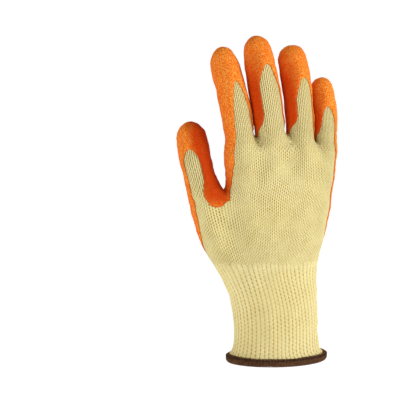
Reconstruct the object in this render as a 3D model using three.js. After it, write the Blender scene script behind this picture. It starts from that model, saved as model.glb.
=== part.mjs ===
// A latex coated grip glove for the right hand: a knitted shell dipped in latex over
// the palm, the fingertips and the thumb, with a ribbed cuff and an overlocked hem.
// Fingers point to +Z, the back of the hand to -Y, the palm to +Y, the thumb to -X.
// The origin is the middle of the cuff's opening. Lengths are millimetres.
import * as THREE from 'three';

// Lengths along the hand
const CUFF_LENGTH = 70;
const HAND_LENGTH = 97;
const FINGER_LENGTH = 89.8;
const THUMB_LENGTH = 58.4;

// Widths across the hand, and depths from its back to its palm
const CUFF_BREADTH = 74;
const CUFF_DEPTH = 48;
const PALM_BREADTH = 92;
const PALM_DEPTH = 34;
const THUMB_WIDTH = 23.6;

// Walls, clearances and the hem
const KNIT_WALL = 1.5;
const COAT_WALL = 0.9;
const COAT_CLEARANCE = 0.3;
const SNAP_SHARE = 0.6;
const SEAM_CLEARANCE = 0.3;
const HEM_HEIGHT = 6;
const HEM_THICKNESS = 4.6;
const HEM_RISE = 0.8;
const HEM_SHOULDER = 0.6;
const RIB_RELIEF = 0.5;

// Rings of the surface's control net
const COLUMNS = 24;
const DIGIT_COLUMNS = 8;
const RIGHT_MIDDLE = COLUMNS / 2;
const WEB_COLUMN = 3;
const SETTLE_ROUNDS = 24;

// Cuff sections: height is a share of the cuff's length above the hem, left and right are
// shares of its breadth, back and front of its depth, and rise is the share of the hem's rise
// at the sides
const CUFF_ROWS = [
  { height: 0, left: 0.545, right: 0.53, back: 0.53, front: 0.53, rise: 1.0 },
  { height: 0.12, left: 0.489, right: 0.458, back: 0.492, front: 0.492, rise: 0.6 },
  { height: 0.575, left: 0.497, right: 0.446, back: 0.465, front: 0.475, rise: 0.15 },
  { height: 1.0, left: 0.641, right: 0.432, back: 0.425, front: 0.455, rise: 0 },
];

// Hand sections up to the thumb's root: height is a share of the hand's length above the
// cuff, left and right of the palm's breadth, back and front of its depth, and split is how
// far the oval has turned into the outline of palm and thumb
const HAND_ROWS = [
  { height: 0.2, left: 0.628, right: 0.386, back: 0.54, front: 0.61, split: 0.5 },
  { height: 0.42, left: 0.717, right: 0.437, back: 0.505, front: 0.57, split: 0.85 },
  { height: 0.63, left: 0.768, right: 0.473, back: 0.475, front: 0.53, split: 1.0 },
];

// Palm sections above the thumb's root, with shares as above; valley is how far the surface
// sinks between two knuckles
const PALM_ROWS = [
  { height: 0.745, left: 0.448, right: 0.493, back: 0.47, front: 0.515, valley: 0.02 },
  { height: 0.875, left: 0.455, right: 0.512, back: 0.44, front: 0.485, valley: 0.1 },
  { height: 1.0, left: 0.462, right: 0.53, back: 0.392, front: 0.435, valley: 0.22 },
];
const PALM_EXPONENT = 2.6;
const CORNER_INSET_SHARE = 0.035;
const ROOT_FULLNESS = 2;

// The web between palm and thumb: across is a share of the palm's breadth, the rest are
// shares of its depth, and heights are shares of the hand's length
const THUMB_WEB = { across: 0.476, middle: 0.12, back: 0.17, front: 0.42, height: 0.69, edge: 0.64 };

// Fingers: from, to and tipAcross are shares of the palm's breadth, widths too, because one
// row of needles knits both; base and tipDepth are shares of the palm's depth; length is a
// share of the middle finger's; webRise is the crotch beyond it and sway how far the middle
// stands aside, shares of the palm's breadth. The bare window on a finger's back ends at
// apex, a share of its length, and bow is how far below that it is fully open, a share of
// its width. turnDegrees is how far the window looks to the little finger, openingDegrees
// its half angle, and rootDegrees that at the crotches.
const FINGERS = [
  { name: 'index', from: -0.454, to: -0.19, base: 0.03, tipAcross: -0.478, tipDepth: 0.42,
    length: 0.895, widths: [0.231, 0.242, 0.214], webRise: 0.088, sway: 0.018,
    apex: 0.69, bow: 1.6, turnDegrees: 5, openingDegrees: 46, rootDegrees: [46, 84] },
  { name: 'middle', from: -0.19, to: 0.087, base: -0.01, tipAcross: -0.168, tipDepth: 0.41,
    length: 1.0, widths: [0.238, 0.257, 0.224], webRise: 0.11, sway: 0.004,
    apex: 0.77, bow: 0.85, turnDegrees: 5, openingDegrees: 48, rootDegrees: [95, 88] },
  { name: 'ring', from: 0.087, to: 0.333, base: 0.02, tipAcross: 0.155, tipDepth: 0.43,
    length: 0.925, widths: [0.21, 0.235, 0.22], webRise: 0.085, sway: 0.012,
    apex: 0.7, bow: 0.85, turnDegrees: 13, openingDegrees: 47, rootDegrees: [101, 82] },
  { name: 'little', from: 0.333, to: 0.532, base: 0.07, tipAcross: 0.428, tipDepth: 0.42,
    length: 0.635, widths: [0.172, 0.2, 0.182], webRise: 0.07, sway: 0.01,
    apex: 0.62, bow: 0.8, turnDegrees: -6, openingDegrees: 40, rootDegrees: [88, 40] },
];

// The thumb: across and tipAcross are shares of the palm's breadth, the depths of its depth,
// and the widths of the thumb's width; webRise is the crotch beyond its root, as above
const THUMB = {
  name: 'thumb', across: -0.622, base: 0.22, tipAcross: -0.735, tipDepth: 0.54,
  length: 1.0, widths: [1.0, 0.99, 0.87], webRise: 0.04, sway: -0.022,
  apex: 0.665, bow: 0.36, turnDegrees: -14, openingDegrees: 32, rootDegrees: [32, 14],
};
const THUMB_ROLL_DEGREES = -18;
const FINGER_ROLL_DEGREES = 8;
const DEPTH_SHARES = [1.0, 0.93, 0.87];
const WIDTH_STOPS = [0, 0.5, 0.85];
const ROUNDEST = 0.95;
const CORNER_DEGREES = -135;
const DIGIT_TURN_DEGREES = 360 / DIGIT_COLUMNS;
const FINGER_STATIONS = [0.18, 0.53, 0.88];
const THUMB_STATIONS = [0.24, 0.58, 0.88];
const FLEX_EXPONENT = 1.7;
const COURSE_STEP = 0.02;
const WEB_REACH_SHARE = 0.85;

// Lower edge of the coat round the hand: column is the net's column, counted from the
// thumb's side over the back, and height is a share of the hand's length above the cuff
const COAT_EDGE = [
  { column: 0, height: 0.235 },
  { column: 0.2, height: 0.255 },
  { column: 0.65, height: 0.34 },
  { column: 0.9, height: 0.43 },
  { column: 1, height: 0.5 },
  { column: 1.08, height: 0.6 },
  { column: 1.15, height: 1.3 },
  { column: 1.85, height: 1.3 },
  { column: 1.93, height: 0.72 },
  { column: 2.03, height: 0.626 },
  { column: 2.15, height: 0.59 },
  { column: 2.3, height: 0.57 },
  { column: 2.5, height: 0.562 },
  { column: 2.7, height: 0.567 },
  { column: 2.85, height: 0.585 },
  { column: 3, height: 0.63 },
  { column: 3.08, height: 0.7 },
  { column: 3.15, height: 0.85 },
  { column: 3.22, height: 1.3 },
  { column: 10.6, height: 1.3 },
  { column: 10.95, height: 0.95 },
  { column: 11.15, height: 0.68 },
  { column: 11.3, height: 0.52 },
  { column: 11.5, height: 0.38 },
  { column: 11.8, height: 0.28 },
  { column: 12, height: 0.22 },
  { column: 12.3, height: 0.12 },
  { column: 12.6, height: 0.04 },
  { column: 13, height: -0.03 },
  { column: 14, height: -0.12 },
  { column: 15, height: -0.165 },
  { column: 16, height: -0.19 },
  { column: 18, height: -0.2 },
  { column: 20, height: -0.185 },
  { column: 21, height: -0.14 },
  { column: 22, height: -0.05 },
  { column: 22.6, height: 0.035 },
  { column: 23.2, height: 0.115 },
  { column: 24, height: 0.235 },
];

// How far apart the edge's slope is read, in columns
const EDGE_STEP = 0.05;

// Where the coat's edge runs up the back of the hand below the index finger: across is a
// share of the palm's breadth
const COAT_SIDE = [
  { height: 0.6, across: -0.47 },
  { height: 0.645, across: -0.452 },
  { height: 0.709, across: -0.434 },
  { height: 0.8, across: -0.428 },
  { height: 0.94, across: -0.415 },
];

// Creases of the palm: across and height run from one end to the other, as shares of the
// palm's breadth and of the hand's length above the cuff; deep is a share of the palm's depth
const CREASES = [
  { across: [-0.36, -0.13], height: [0.66, 0.24], deep: 0.06, wide: 0.06 },
  { across: [-0.46, -0.5], height: [0.47, 0.22], deep: 0.03, wide: 0.05 },
  { across: [-0.3, 0.34], height: [0.84, 0.76], deep: 0.03, wide: 0.06 },
];
// Soft ridges below the knuckles and the hollow beside the thumb, on the back: a ridge
// sinks less than nothing
const FOLDS = [
  { across: [-0.33, -0.33], height: [1.0, 0.6], deep: -0.03, wide: 0.09 },
  { across: [-0.07, -0.09], height: [1.0, 0.6], deep: -0.03, wide: 0.09 },
  { across: [0.19, 0.15], height: [1.0, 0.6], deep: -0.03, wide: 0.085 },
  { across: [0.41, 0.36], height: [0.98, 0.6], deep: -0.025, wide: 0.07 },
  { across: [-0.37, -0.27], height: [0.9, 0.0], deep: 0.035, wide: 0.1 },
];
const CREASE_END = 0.08;

const KNIT_COLOUR = new THREE.Color('#e6dca0');
const COAT_COLOUR = new THREE.Color('#ee7f28');
const HEM_COLOUR = new THREE.Color('#553420');

const radians = THREE.MathUtils.degToRad;
const HALF_TURN = 180;
const lerp = THREE.MathUtils.lerp;
const clamp = THREE.MathUtils.clamp;
const handTop = CUFF_LENGTH + HAND_LENGTH;
const handHeight = (share) => CUFF_LENGTH + share * HAND_LENGTH;

// A net of quads: each face keeps its part's name and the coordinates of its corners
class Net {
  constructor() {
    this.points = [];
    this.faces = [];
  }

  point(x, y, z) {
    this.points.push(new THREE.Vector3(x, y, z));
    return this.points.length - 1;
  }

  face(corners, marks, part) {
    this.faces.push({ corners, marks, part });
  }

  // Faces between two rings of the same count, the lower one first
  band(lower, upper, columns, row, part) {
    for (let i = 0; i < lower.length; i += 1) {
      const next = (i + 1) % lower.length;
      const corners = [lower[i], lower[next], upper[next], upper[i]];
      const [from, to] = columns[i];
      this.face(corners, [[from, row], [to, row], [to, row + 1], [from, row + 1]], part);
    }
  }
}

// Interpolates a list of values that stand at the given stops
function along(stops, values, at) {
  const last = stops.length - 1;
  if (at <= stops[0]) return values[0];
  for (let i = 1; i <= last; i += 1) {
    if (at <= stops[i]) {
      return lerp(values[i - 1], values[i], (at - stops[i - 1]) / (stops[i] - stops[i - 1]));
    }
  }
  return values[last];
}

// One point of an oval section, its columns evenly spaced along the rim
function ovalPoint(size, column) {
  const even = (column / COLUMNS) * 2 * Math.PI;
  const flatness = (size.right + size.left - size.back - size.front)
    / (size.right + size.left + size.back + size.front);
  const angle = even + (flatness / 2) * Math.sin(2 * even);
  const across = -Math.cos(angle);
  const outward = -Math.sin(angle);
  const middle = (size.right - size.left) / 2;
  const x = middle + (across * (size.right + size.left)) / 2;
  return [x, outward * (outward < 0 ? size.back : size.front)];
}

// How deep the palm's section is at a share across it, 1 in the middle and 0 at the sides
function squarish(x, left, right) {
  const share = Math.abs((2 * x - left - right) / (right - left));
  return Math.max(0, 1 - share ** PALM_EXPONENT) ** (1 / PALM_EXPONENT);
}

// Where each back column of the palm stands across it, from the thumb's web to the side
function palmColumns(left, right) {
  const webs = [FINGERS[0].from, ...FINGERS.map((finger) => finger.to)];
  const inset = CORNER_INSET_SHARE * PALM_BREADTH;
  const low = webs[0] * PALM_BREADTH;
  const high = webs[FINGERS.length] * PALM_BREADTH;
  const columns = [];
  FINGERS.forEach((finger, i) => {
    columns.push(webs[i] * PALM_BREADTH, ((webs[i] + webs[i + 1]) / 2) * PALM_BREADTH);
  });
  columns.push(high);
  const placed = columns.map((x) => lerp(left, right, (x - low) / (high - low)));
  placed[0] += inset;
  placed[placed.length - 1] -= inset;
  return placed;
}

// One point of a digit's section, its columns counted from its back's left corner
function digitPoint(width, depth, column, roll) {
  const angle = radians(CORNER_DEGREES + DIGIT_TURN_DEGREES * column);
  const point = new THREE.Vector2((Math.cos(angle) * width) / 2, (Math.sin(angle) * depth) / 2);
  return point.rotateAround(new THREE.Vector2(), radians(roll));
}

// One point of the outline of palm and thumb at the thumb's root
function rootPoint(size, column) {
  const fromLeft = column <= RIGHT_MIDDLE ? column : COLUMNS - column;
  const back = column < RIGHT_MIDDLE;
  const webX = -THUMB_WEB.across * PALM_BREADTH;
  if (fromLeft < WEB_COLUMN) {
    const local = (column - 1 + COLUMNS) % COLUMNS;
    const own = local < WEB_COLUMN ? local : local - COLUMNS + DIGIT_COLUMNS;
    const girth = THUMB_WIDTH + ROOT_FULLNESS;
    const off = digitPoint(girth, girth * DEPTH_SHARES[0], own, THUMB_ROLL_DEGREES);
    return [THUMB.across * PALM_BREADTH + off.x, THUMB.base * PALM_DEPTH + off.y];
  }
  if (fromLeft === WEB_COLUMN) {
    return [webX, back ? -THUMB_WEB.back * PALM_DEPTH : THUMB_WEB.front * PALM_DEPTH];
  }
  if (fromLeft === RIGHT_MIDDLE) return [size.right, THUMB_WEB.middle * PALM_DEPTH / 3];
  const x = palmColumns(webX, size.right)[fromLeft - WEB_COLUMN];
  return [x, (back ? -size.back : size.front) * squarish(x, webX, size.right)];
}

// Real lengths of a table's row
function sectionSize(row, breadth, depth) {
  return {
    left: row.left * breadth,
    right: row.right * breadth,
    back: row.back * depth,
    front: row.front * depth,
  };
}

// The rings of the cuff and of the hand up to the thumb's root
function addLowerRings(net) {
  const rings = [];
  const everyColumn = Array.from({ length: COLUMNS }, (_, column) => column);
  CUFF_ROWS.forEach((row) => {
    const size = sectionSize(row, CUFF_BREADTH, CUFF_DEPTH);
    rings.push(everyColumn.map((column) => {
      const [x, y] = ovalPoint(size, column);
      const side = (2 * x + size.left - size.right) / (size.left + size.right);
      const z = lerp(HEM_HEIGHT, CUFF_LENGTH, row.height) + row.rise * HEM_RISE * side * side;
      return net.point(x, y, z);
    }));
  });
  HAND_ROWS.forEach((row) => {
    const size = sectionSize(row, PALM_BREADTH, PALM_DEPTH);
    const root = sectionSize(HAND_ROWS[HAND_ROWS.length - 1], PALM_BREADTH, PALM_DEPTH);
    rings.push(everyColumn.map((column) => {
      const oval = ovalPoint(size, column);
      const [rootX, rootY] = rootPoint(root, column);
      const share = (rootX + root.left) / (root.left + root.right);
      const x = lerp(-size.left, size.right, share);
      const y = rootY * (rootY < 0 ? size.back / root.back : size.front / root.front);
      const z = handHeight(row.height);
      return net.point(lerp(oval[0], x, row.split), lerp(oval[1], y, row.split), z);
    }));
  });
  const columns = everyColumn.map((column) => [column, column + 1]);
  for (let i = 1; i < rings.length; i += 1) {
    const part = i < CUFF_ROWS.length ? 'cuff' : 'hand';
    net.band(rings[i - 1], rings[i], columns, i - 1, part);
  }
  return rings;
}

// The rings of the palm above the thumb's root
function addPalmRings(net, root, web, firstRow) {
  const lastColumn = RIGHT_MIDDLE - WEB_COLUMN;
  const count = 2 * (lastColumn + 1);
  const backColumns = root.slice(WEB_COLUMN, RIGHT_MIDDLE + 1);
  const rings = [[web, ...backColumns, ...root.slice(RIGHT_MIDDLE + 1, COLUMNS - WEB_COLUMN + 1)]];
  PALM_ROWS.forEach((row) => {
    const size = sectionSize(row, PALM_BREADTH, PALM_DEPTH);
    const across = palmColumns(-size.left, size.right);
    const ring = [];
    for (let i = 0; i < count; i += 1) {
      const fromLeft = i <= lastColumn + 1 ? i : count - i;
      const back = i < lastColumn + 1;
      const z = handHeight(row.height);
      if (fromLeft === 0) {
        ring.push(net.point(-size.left, THUMB_WEB.middle * PALM_DEPTH / 2, z));
      } else if (fromLeft === lastColumn + 1) {
        ring.push(net.point(size.right, THUMB_WEB.middle * PALM_DEPTH / 2, z));
      } else {
        const x = across[fromLeft - 1];
        const between = fromLeft % 2 === 1 && fromLeft > 1 && fromLeft < lastColumn;
        const sink = between ? 1 - row.valley : 1;
        const depth = (back ? -size.back : size.front) * squarish(x, -size.left, size.right);
        ring.push(net.point(x, depth * sink, z));
      }
    }
    rings.push(ring);
  });
  const columns = rings[0].map((_, i) => {
    const column = i + WEB_COLUMN - 1;
    return [column, column + 1];
  });
  for (let i = 1; i < rings.length; i += 1) {
    net.band(rings[i - 1], rings[i], columns, firstRow + i - 1, 'hand');
  }
  return rings[rings.length - 1];
}

// A finger or thumb that grows from a ring of eight points to its closed tip
function addDigit(net, base, digit) {
  const { start, tip, widths, stations, roll, sway, name } = digit;
  const middleLine = (share) => {
    const point = start.clone().lerp(tip, share);
    point.x += sway * PALM_BREADTH * Math.sin(Math.PI * share);
    point.y = lerp(start.y, tip.y, share ** FLEX_EXPONENT);
    return point;
  };
  const length = tip.z - start.z;
  const tipRadius = widths[2] / 2;
  const rings = [base];
  stations.forEach((station) => {
    const middle = middleLine(station);
    const ahead = middleLine(station + COURSE_STEP);
    const course = ahead.sub(middleLine(station - COURSE_STEP)).normalize();
    const across = new THREE.Vector3(1, 0, 0).addScaledVector(course, -course.x).normalize();
    const inward = new THREE.Vector3().crossVectors(course, across);
    const beyond = clamp((station * length - length + tipRadius) / tipRadius, 0, ROUNDEST);
    const taper = Math.sqrt(1 - beyond * beyond);
    const width = along(WIDTH_STOPS, widths, station) * taper;
    const depth = width * along(WIDTH_STOPS, DEPTH_SHARES, station);
    const ring = [];
    for (let i = 0; i < DIGIT_COLUMNS; i += 1) {
      const turned = digitPoint(width, depth, i, roll);
      const point = middle.clone();
      point.addScaledVector(across, turned.x).addScaledVector(inward, turned.y);
      ring.push(net.point(point.x, point.y, point.z));
    }
    rings.push(ring);
  });
  const columns = base.map((_, i) => [i, i + 1]);
  for (let i = 1; i < rings.length; i += 1) {
    net.band(rings[i - 1], rings[i], columns, i - 1, name);
  }
  const end = net.point(tip.x, tip.y, tip.z);
  const last = rings[rings.length - 1];
  const row = stations.length;
  for (let i = 0; i < DIGIT_COLUMNS; i += 2) {
    const before = (i + DIGIT_COLUMNS - 1) % DIGIT_COLUMNS;
    const marks = [[i, row + 1], [i - 1, row], [i, row], [i + 1, row]];
    net.face([end, last[before], last[i], last[i + 1]], marks, name);
  }
}

// Real sizes of the four fingers and the thumb
function digitSizes() {
  const fingers = FINGERS.map((finger, i) => {
    const middle = ((finger.from + finger.to) / 2) * PALM_BREADTH;
    const start = new THREE.Vector3(middle, finger.base * PALM_DEPTH, handTop);
    const tip = new THREE.Vector3(
      finger.tipAcross * PALM_BREADTH,
      finger.tipDepth * PALM_DEPTH,
      handTop + finger.length * FINGER_LENGTH,
    );
    const widths = finger.widths.map((share) => share * PALM_BREADTH);
    const sides = [FINGERS[Math.max(0, i - 1)], finger];
    const webs = sides.map(({ webRise }) => handTop + webRise * PALM_BREADTH);
    return { ...finger, start, tip, widths, webs, stations: FINGER_STATIONS, roll: FINGER_ROLL_DEGREES };
  });
  const root = handHeight(HAND_ROWS[HAND_ROWS.length - 1].height);
  const start = new THREE.Vector3(THUMB.across * PALM_BREADTH, THUMB.base * PALM_DEPTH, root);
  const tip = new THREE.Vector3(
    THUMB.tipAcross * PALM_BREADTH,
    THUMB.tipDepth * PALM_DEPTH,
    root + THUMB.length * THUMB_LENGTH,
  );
  const widths = THUMB.widths.map((share) => share * THUMB_WIDTH);
  const web = root + THUMB.webRise * PALM_BREADTH;
  const thumb = {
    ...THUMB, start, tip, widths, webs: [web, web], stations: THUMB_STATIONS, roll: THUMB_ROLL_DEGREES,
  };
  return [...fingers, thumb];
}

// The whole control net: cuff, hand, palm, fingers and thumb, open only at the wrist
function gloveNet(digits) {
  const net = new Net();
  const lower = addLowerRings(net);
  const root = lower[lower.length - 1];
  const webX = -THUMB_WEB.across * PALM_BREADTH;
  const webEdge = handHeight(THUMB_WEB.edge);
  [root[WEB_COLUMN], root[COLUMNS - WEB_COLUMN]].forEach((index) => {
    net.points[index].z = webEdge;
  });
  const thumbWeb = net.point(webX, THUMB_WEB.middle * PALM_DEPTH, handHeight(THUMB_WEB.height));
  const top = addPalmRings(net, root, thumbWeb, lower.length - 1);
  const last = top.length / 2;
  const webs = [top[0]];
  FINGERS.slice(0, -1).forEach((finger) => {
    const x = finger.to * PALM_BREADTH;
    webs.push(net.point(x, 0, handTop + finger.webRise * PALM_BREADTH));
  });
  webs.push(top[last]);
  const thumb = digits[digits.length - 1];
  digits.slice(0, -1).forEach((digit, i) => {
    const [b0, b1, b2] = top.slice(1 + 2 * i, 4 + 2 * i);
    const [f0, f1, f2] = top.slice(top.length - 3 - 2 * i, top.length - 2 * i);
    addDigit(net, [b0, b1, b2, webs[i + 1], f0, f1, f2, webs[i]], digit);
  });
  const front = root.slice(COLUMNS - WEB_COLUMN);
  addDigit(net, [...root.slice(1, WEB_COLUMN + 1), thumbWeb, ...front, root[0]], thumb);
  return net;
}

// Faces on each edge of a net, by the edge's two points in ascending order
function edgesOf(net) {
  const edges = new Map();
  net.faces.forEach((face, f) => {
    face.corners.forEach((a, i) => {
      const b = face.corners[(i + 1) % face.corners.length];
      const key = a < b ? `${a},${b}` : `${b},${a}`;
      if (!edges.has(key)) edges.set(key, { ends: [Math.min(a, b), Math.max(a, b)], faces: [] });
      edges.get(key).faces.push(f);
    });
  });
  return edges;
}

const zeros = (count) => Array.from({ length: count }, () => new THREE.Vector3());

// Where each point of the net lies on the smooth surface that the net stands for
function limitPoints(net, edges) {
  const count = net.points.length;
  const neighbours = zeros(count);
  const opposites = zeros(count);
  const rim = zeros(count);
  const valence = new Array(count).fill(0);
  const onRim = new Array(count).fill(false);
  edges.forEach(({ ends: [a, b], faces }) => {
    neighbours[a].add(net.points[b]);
    neighbours[b].add(net.points[a]);
    valence[a] += 1;
    valence[b] += 1;
    if (faces.length === 1) {
      onRim[a] = true;
      onRim[b] = true;
      rim[a].add(net.points[b]);
      rim[b].add(net.points[a]);
    }
  });
  net.faces.forEach(({ corners }) => {
    corners.forEach((a, i) => opposites[a].add(net.points[corners[(i + 2) % 4]]));
  });
  return net.points.map((point, i) => {
    if (onRim[i]) return point.clone().multiplyScalar(4).add(rim[i]).divideScalar(6);
    const n = valence[i];
    return point.clone().multiplyScalar(n * n).addScaledVector(neighbours[i], 4)
      .add(opposites[i]).divideScalar(n * (n + 5));
  });
}

// Moves the net's points until the smooth surface passes through their first places
function settle(net) {
  const wanted = net.points.map((point) => point.clone());
  const edges = edgesOf(net);
  for (let round = 0; round < SETTLE_ROUNDS; round += 1) {
    const reached = limitPoints(net, edges);
    net.points.forEach((point, i) => point.add(wanted[i]).sub(reached[i]));
  }
}

// One round of Catmull-Clark subdivision
function refine(net) {
  const edges = edgesOf(net);
  const finer = new Net();
  const centres = net.faces.map(({ corners }) => {
    const sum = new THREE.Vector3();
    corners.forEach((corner) => sum.add(net.points[corner]));
    return sum.divideScalar(corners.length);
  });
  const count = net.points.length;
  const faceSums = zeros(count);
  const edgeSums = zeros(count);
  const rimSums = zeros(count);
  const valence = new Array(count).fill(0);
  const onRim = new Array(count).fill(false);
  net.faces.forEach(({ corners }, f) => corners.forEach((a) => faceSums[a].add(centres[f])));
  edges.forEach(({ ends, faces }) => {
    const middle = net.points[ends[0]].clone().add(net.points[ends[1]]).divideScalar(2);
    ends.forEach((a) => {
      edgeSums[a].add(middle);
      valence[a] += 1;
      if (faces.length === 1) {
        onRim[a] = true;
        rimSums[a].add(middle);
      }
    });
  });
  net.points.forEach((point, i) => {
    const n = valence[i];
    const moved = onRim[i]
      ? rimSums[i].clone().addScaledVector(point, 2).divideScalar(4)
      : faceSums[i].clone().addScaledVector(edgeSums[i], 2).divideScalar(n)
        .addScaledVector(point, n - 3).divideScalar(n);
    finer.point(moved.x, moved.y, moved.z);
  });
  const edgePoints = new Map();
  edges.forEach(({ ends, faces }, key) => {
    const middle = net.points[ends[0]].clone().add(net.points[ends[1]]);
    const sum = faces.length === 1
      ? middle.divideScalar(2)
      : middle.add(centres[faces[0]]).add(centres[faces[1]]).divideScalar(4);
    edgePoints.set(key, finer.point(sum.x, sum.y, sum.z));
  });
  const between = (a, b) => edgePoints.get(a < b ? `${a},${b}` : `${b},${a}`);
  const mean = (marks) => [0, 1].map((k) => marks.reduce((sum, m) => sum + m[k], 0) / marks.length);
  net.faces.forEach(({ corners, marks, part }, f) => {
    const centre = finer.point(centres[f].x, centres[f].y, centres[f].z);
    const centreMark = mean(marks);
    corners.forEach((a, i) => {
      const after = (i + 1) % 4;
      const before = (i + 3) % 4;
      const ring = [a, between(a, corners[after]), centre, between(a, corners[before])];
      const onward = mean([marks[i], marks[after]]);
      const back = mean([marks[i], marks[before]]);
      finer.face(ring, [marks[i], onward, centreMark, back], part);
    });
  });
  return finer;
}

// Outward unit normals at the net's points
function normalsOf(net) {
  const normals = zeros(net.points.length);
  net.faces.forEach(({ corners }) => {
    const [a, b, c, d] = corners.map((corner) => net.points[corner]);
    const normal = new THREE.Vector3().crossVectors(c.clone().sub(a), d.clone().sub(b));
    corners.forEach((corner) => normals[corner].add(normal));
  });
  return normals.map((normal) => normal.normalize());
}

// How far a crease of the palm or a fold of the back sinks the surface at a point
function creaseDepth(point, normal) {
  return (normal.y > 0 ? CREASES : FOLDS).reduce((sum, { across, height, deep, wide }) => {
    const from = new THREE.Vector2(across[0] * PALM_BREADTH, handHeight(height[0]));
    const to = new THREE.Vector2(across[1] * PALM_BREADTH, handHeight(height[1]));
    const course = to.clone().sub(from);
    const here = new THREE.Vector2(point.x, point.z).sub(from);
    const share = clamp(here.dot(course) / course.lengthSq(), 0, 1);
    const off = here.addScaledVector(course, -share).length() / (wide * PALM_BREADTH);
    const fade = Math.sin(Math.PI * clamp(share, CREASE_END, 1 - CREASE_END));
    return sum + deep * PALM_DEPTH * fade * Math.abs(normal.y) * Math.exp(-off * off);
  }, 0);
}

// The smooth surface after a number of rounds, with its creases pressed in
function smoothSurface(cage, rounds) {
  let net = cage;
  for (let round = 0; round < rounds; round += 1) net = refine(net);
  const placed = new Net();
  placed.points = limitPoints(net, edgesOf(net));
  placed.faces = net.faces;
  const normals = normalsOf(placed);
  placed.points.forEach((point, i) => {
    point.addScaledVector(normals[i], -creaseDepth(point, normals[i]));
  });
  placed.normals = normalsOf(placed);
  return placed;
}

// Joins an outer and an inner copy of an open patch into one closed wall. Where two pieces
// meet, inset draws the patch's rim back along the surface.
function wallGeometry(patch, outside, inside, inset) {
  const used = [...new Set(patch.faces.flat())];
  const rim = new Map();
  const sides = new Set();
  patch.faces.forEach((face) => {
    face.forEach((a, i) => sides.add(`${a},${face[(i + 1) % face.length]}`));
  });
  patch.faces.forEach((face) => {
    face.forEach((a, i) => {
      const b = face[(i + 1) % face.length];
      if (!sides.has(`${b},${a}`)) rim.set(a, b);
    });
  });
  const onRim = new Set([...rim.keys()]);
  const pull = new Map();
  patch.faces.forEach((face) => {
    face.forEach((a) => {
      if (!onRim.has(a)) return;
      const sum = pull.get(a) ?? new THREE.Vector3();
      face.filter((b) => !onRim.has(b)).forEach((b) => {
        sum.add(patch.points[b].clone().sub(patch.points[a]).normalize());
      });
      pull.set(a, sum);
    });
  });
  const positions = [];
  const outer = new Map();
  const inner = new Map();
  used.forEach((index) => {
    const point = patch.points[index].clone();
    if (onRim.has(index)) point.addScaledVector(pull.get(index).normalize(), inset);
    const out = point.clone().addScaledVector(patch.normals[index], outside);
    const within = point.clone().addScaledVector(patch.normals[index], inside);
    outer.set(index, positions.length / 3);
    positions.push(out.x, out.y, out.z);
    inner.set(index, positions.length / 3);
    positions.push(within.x, within.y, within.z);
  });
  const triangles = [];
  patch.faces.forEach((face) => {
    for (let i = 2; i < face.length; i += 1) {
      const corners = [face[0], face[i - 1], face[i]];
      triangles.push(...corners.map((index) => outer.get(index)));
      triangles.push(...corners.reverse().map((index) => inner.get(index)));
    }
  });
  rim.forEach((b, a) => {
    triangles.push(outer.get(b), outer.get(a), inner.get(a));
    triangles.push(outer.get(b), inner.get(a), inner.get(b));
  });
  return triangleGeometry(positions, triangles);
}

function triangleGeometry(positions, triangles) {
  const geometry = new THREE.BufferGeometry();
  geometry.setAttribute('position', new THREE.Float32BufferAttribute(positions, 3));
  geometry.setIndex(triangles);
  geometry.computeVertexNormals();
  return geometry;
}

// The patch of the surface whose faces the test keeps
function patchOf(surface, keeps) {
  const faces = surface.faces.filter(keeps).map((face) => face.corners);
  return { points: surface.points, normals: surface.normals, faces };
}

// Height of the coat's lower edge at a column of the hand, in mm
function coatEdge(column) {
  const columns = COAT_EDGE.map((row) => row.column);
  const heights = COAT_EDGE.map((row) => row.height);
  return handHeight(along(columns, heights, column));
}

// How far inside the coat a point of the hand lies, in mm, negative where the knit is bare
function handCoat(point, column) {
  const turn = ((column % COLUMNS) + COLUMNS) % COLUMNS;
  const edge = coatEdge(turn);
  const columnWidth = PALM_BREADTH / (RIGHT_MIDDLE - WEB_COLUMN);
  const rise = coatEdge(turn + EDGE_STEP) - coatEdge(Math.max(0, turn - EDGE_STEP));
  const slope = rise / (2 * EDGE_STEP * columnWidth);
  const inside = (point.z - edge) / Math.hypot(1, slope);
  if (point.y > 0 || point.x > 0 || point.z < handHeight(COAT_SIDE[0].height)) return inside;
  const heights = COAT_SIDE.map((row) => handHeight(row.height));
  const side = along(heights, COAT_SIDE.map((row) => row.across), point.z) * PALM_BREADTH;
  return Math.min(inside, side - point.x);
}

// The same for a point of a finger or the thumb
function digitCoat(point, column, digit) {
  const { start, tip, widths, apex, bow, webs, turnDegrees, openingDegrees, rootDegrees } = digit;
  const toLength = (degrees) => radians(degrees) * (widths[1] / 2);
  const turned = (column - 1) * DIGIT_TURN_DEGREES - turnDegrees;
  const off = THREE.MathUtils.euclideanModulo(turned + HALF_TURN, 2 * HALF_TURN) - HALF_TURN;
  const side = off < 0 ? 0 : 1;
  const reach = WEB_REACH_SHARE * widths[1];
  const nearWeb = THREE.MathUtils.smoothstep(reach - (point.z - webs[side]), 0, reach);
  const half = lerp(openingDegrees, rootDegrees[side], nearWeb * nearWeb);
  const share = Math.min(1, Math.abs(off) / openingDegrees);
  const below = lerp(start.z, tip.z, apex) - point.z;
  const reached = bow * widths[1];
  const steep = (2 * reached * share) / toLength(openingDegrees);
  const overApex = (reached * share * share - below) / Math.hypot(1, steep);
  return Math.max(overApex, toLength(Math.abs(off) - half));
}

// The coat's value at each point of the surface
function coatField(surface, digits) {
  const field = new Array(surface.points.length).fill(null);
  const byName = new Map(digits.map((digit) => [digit.name, digit]));
  surface.faces.forEach(({ corners, marks, part }) => {
    corners.forEach((index, i) => {
      const point = surface.points[index];
      const digit = byName.get(part);
      if (digit) field[index] = digitCoat(point, marks[i][0], digit);
      else if (field[index] === null) field[index] = handCoat(point, marks[i][0]);
    });
  });
  return field;
}

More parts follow.
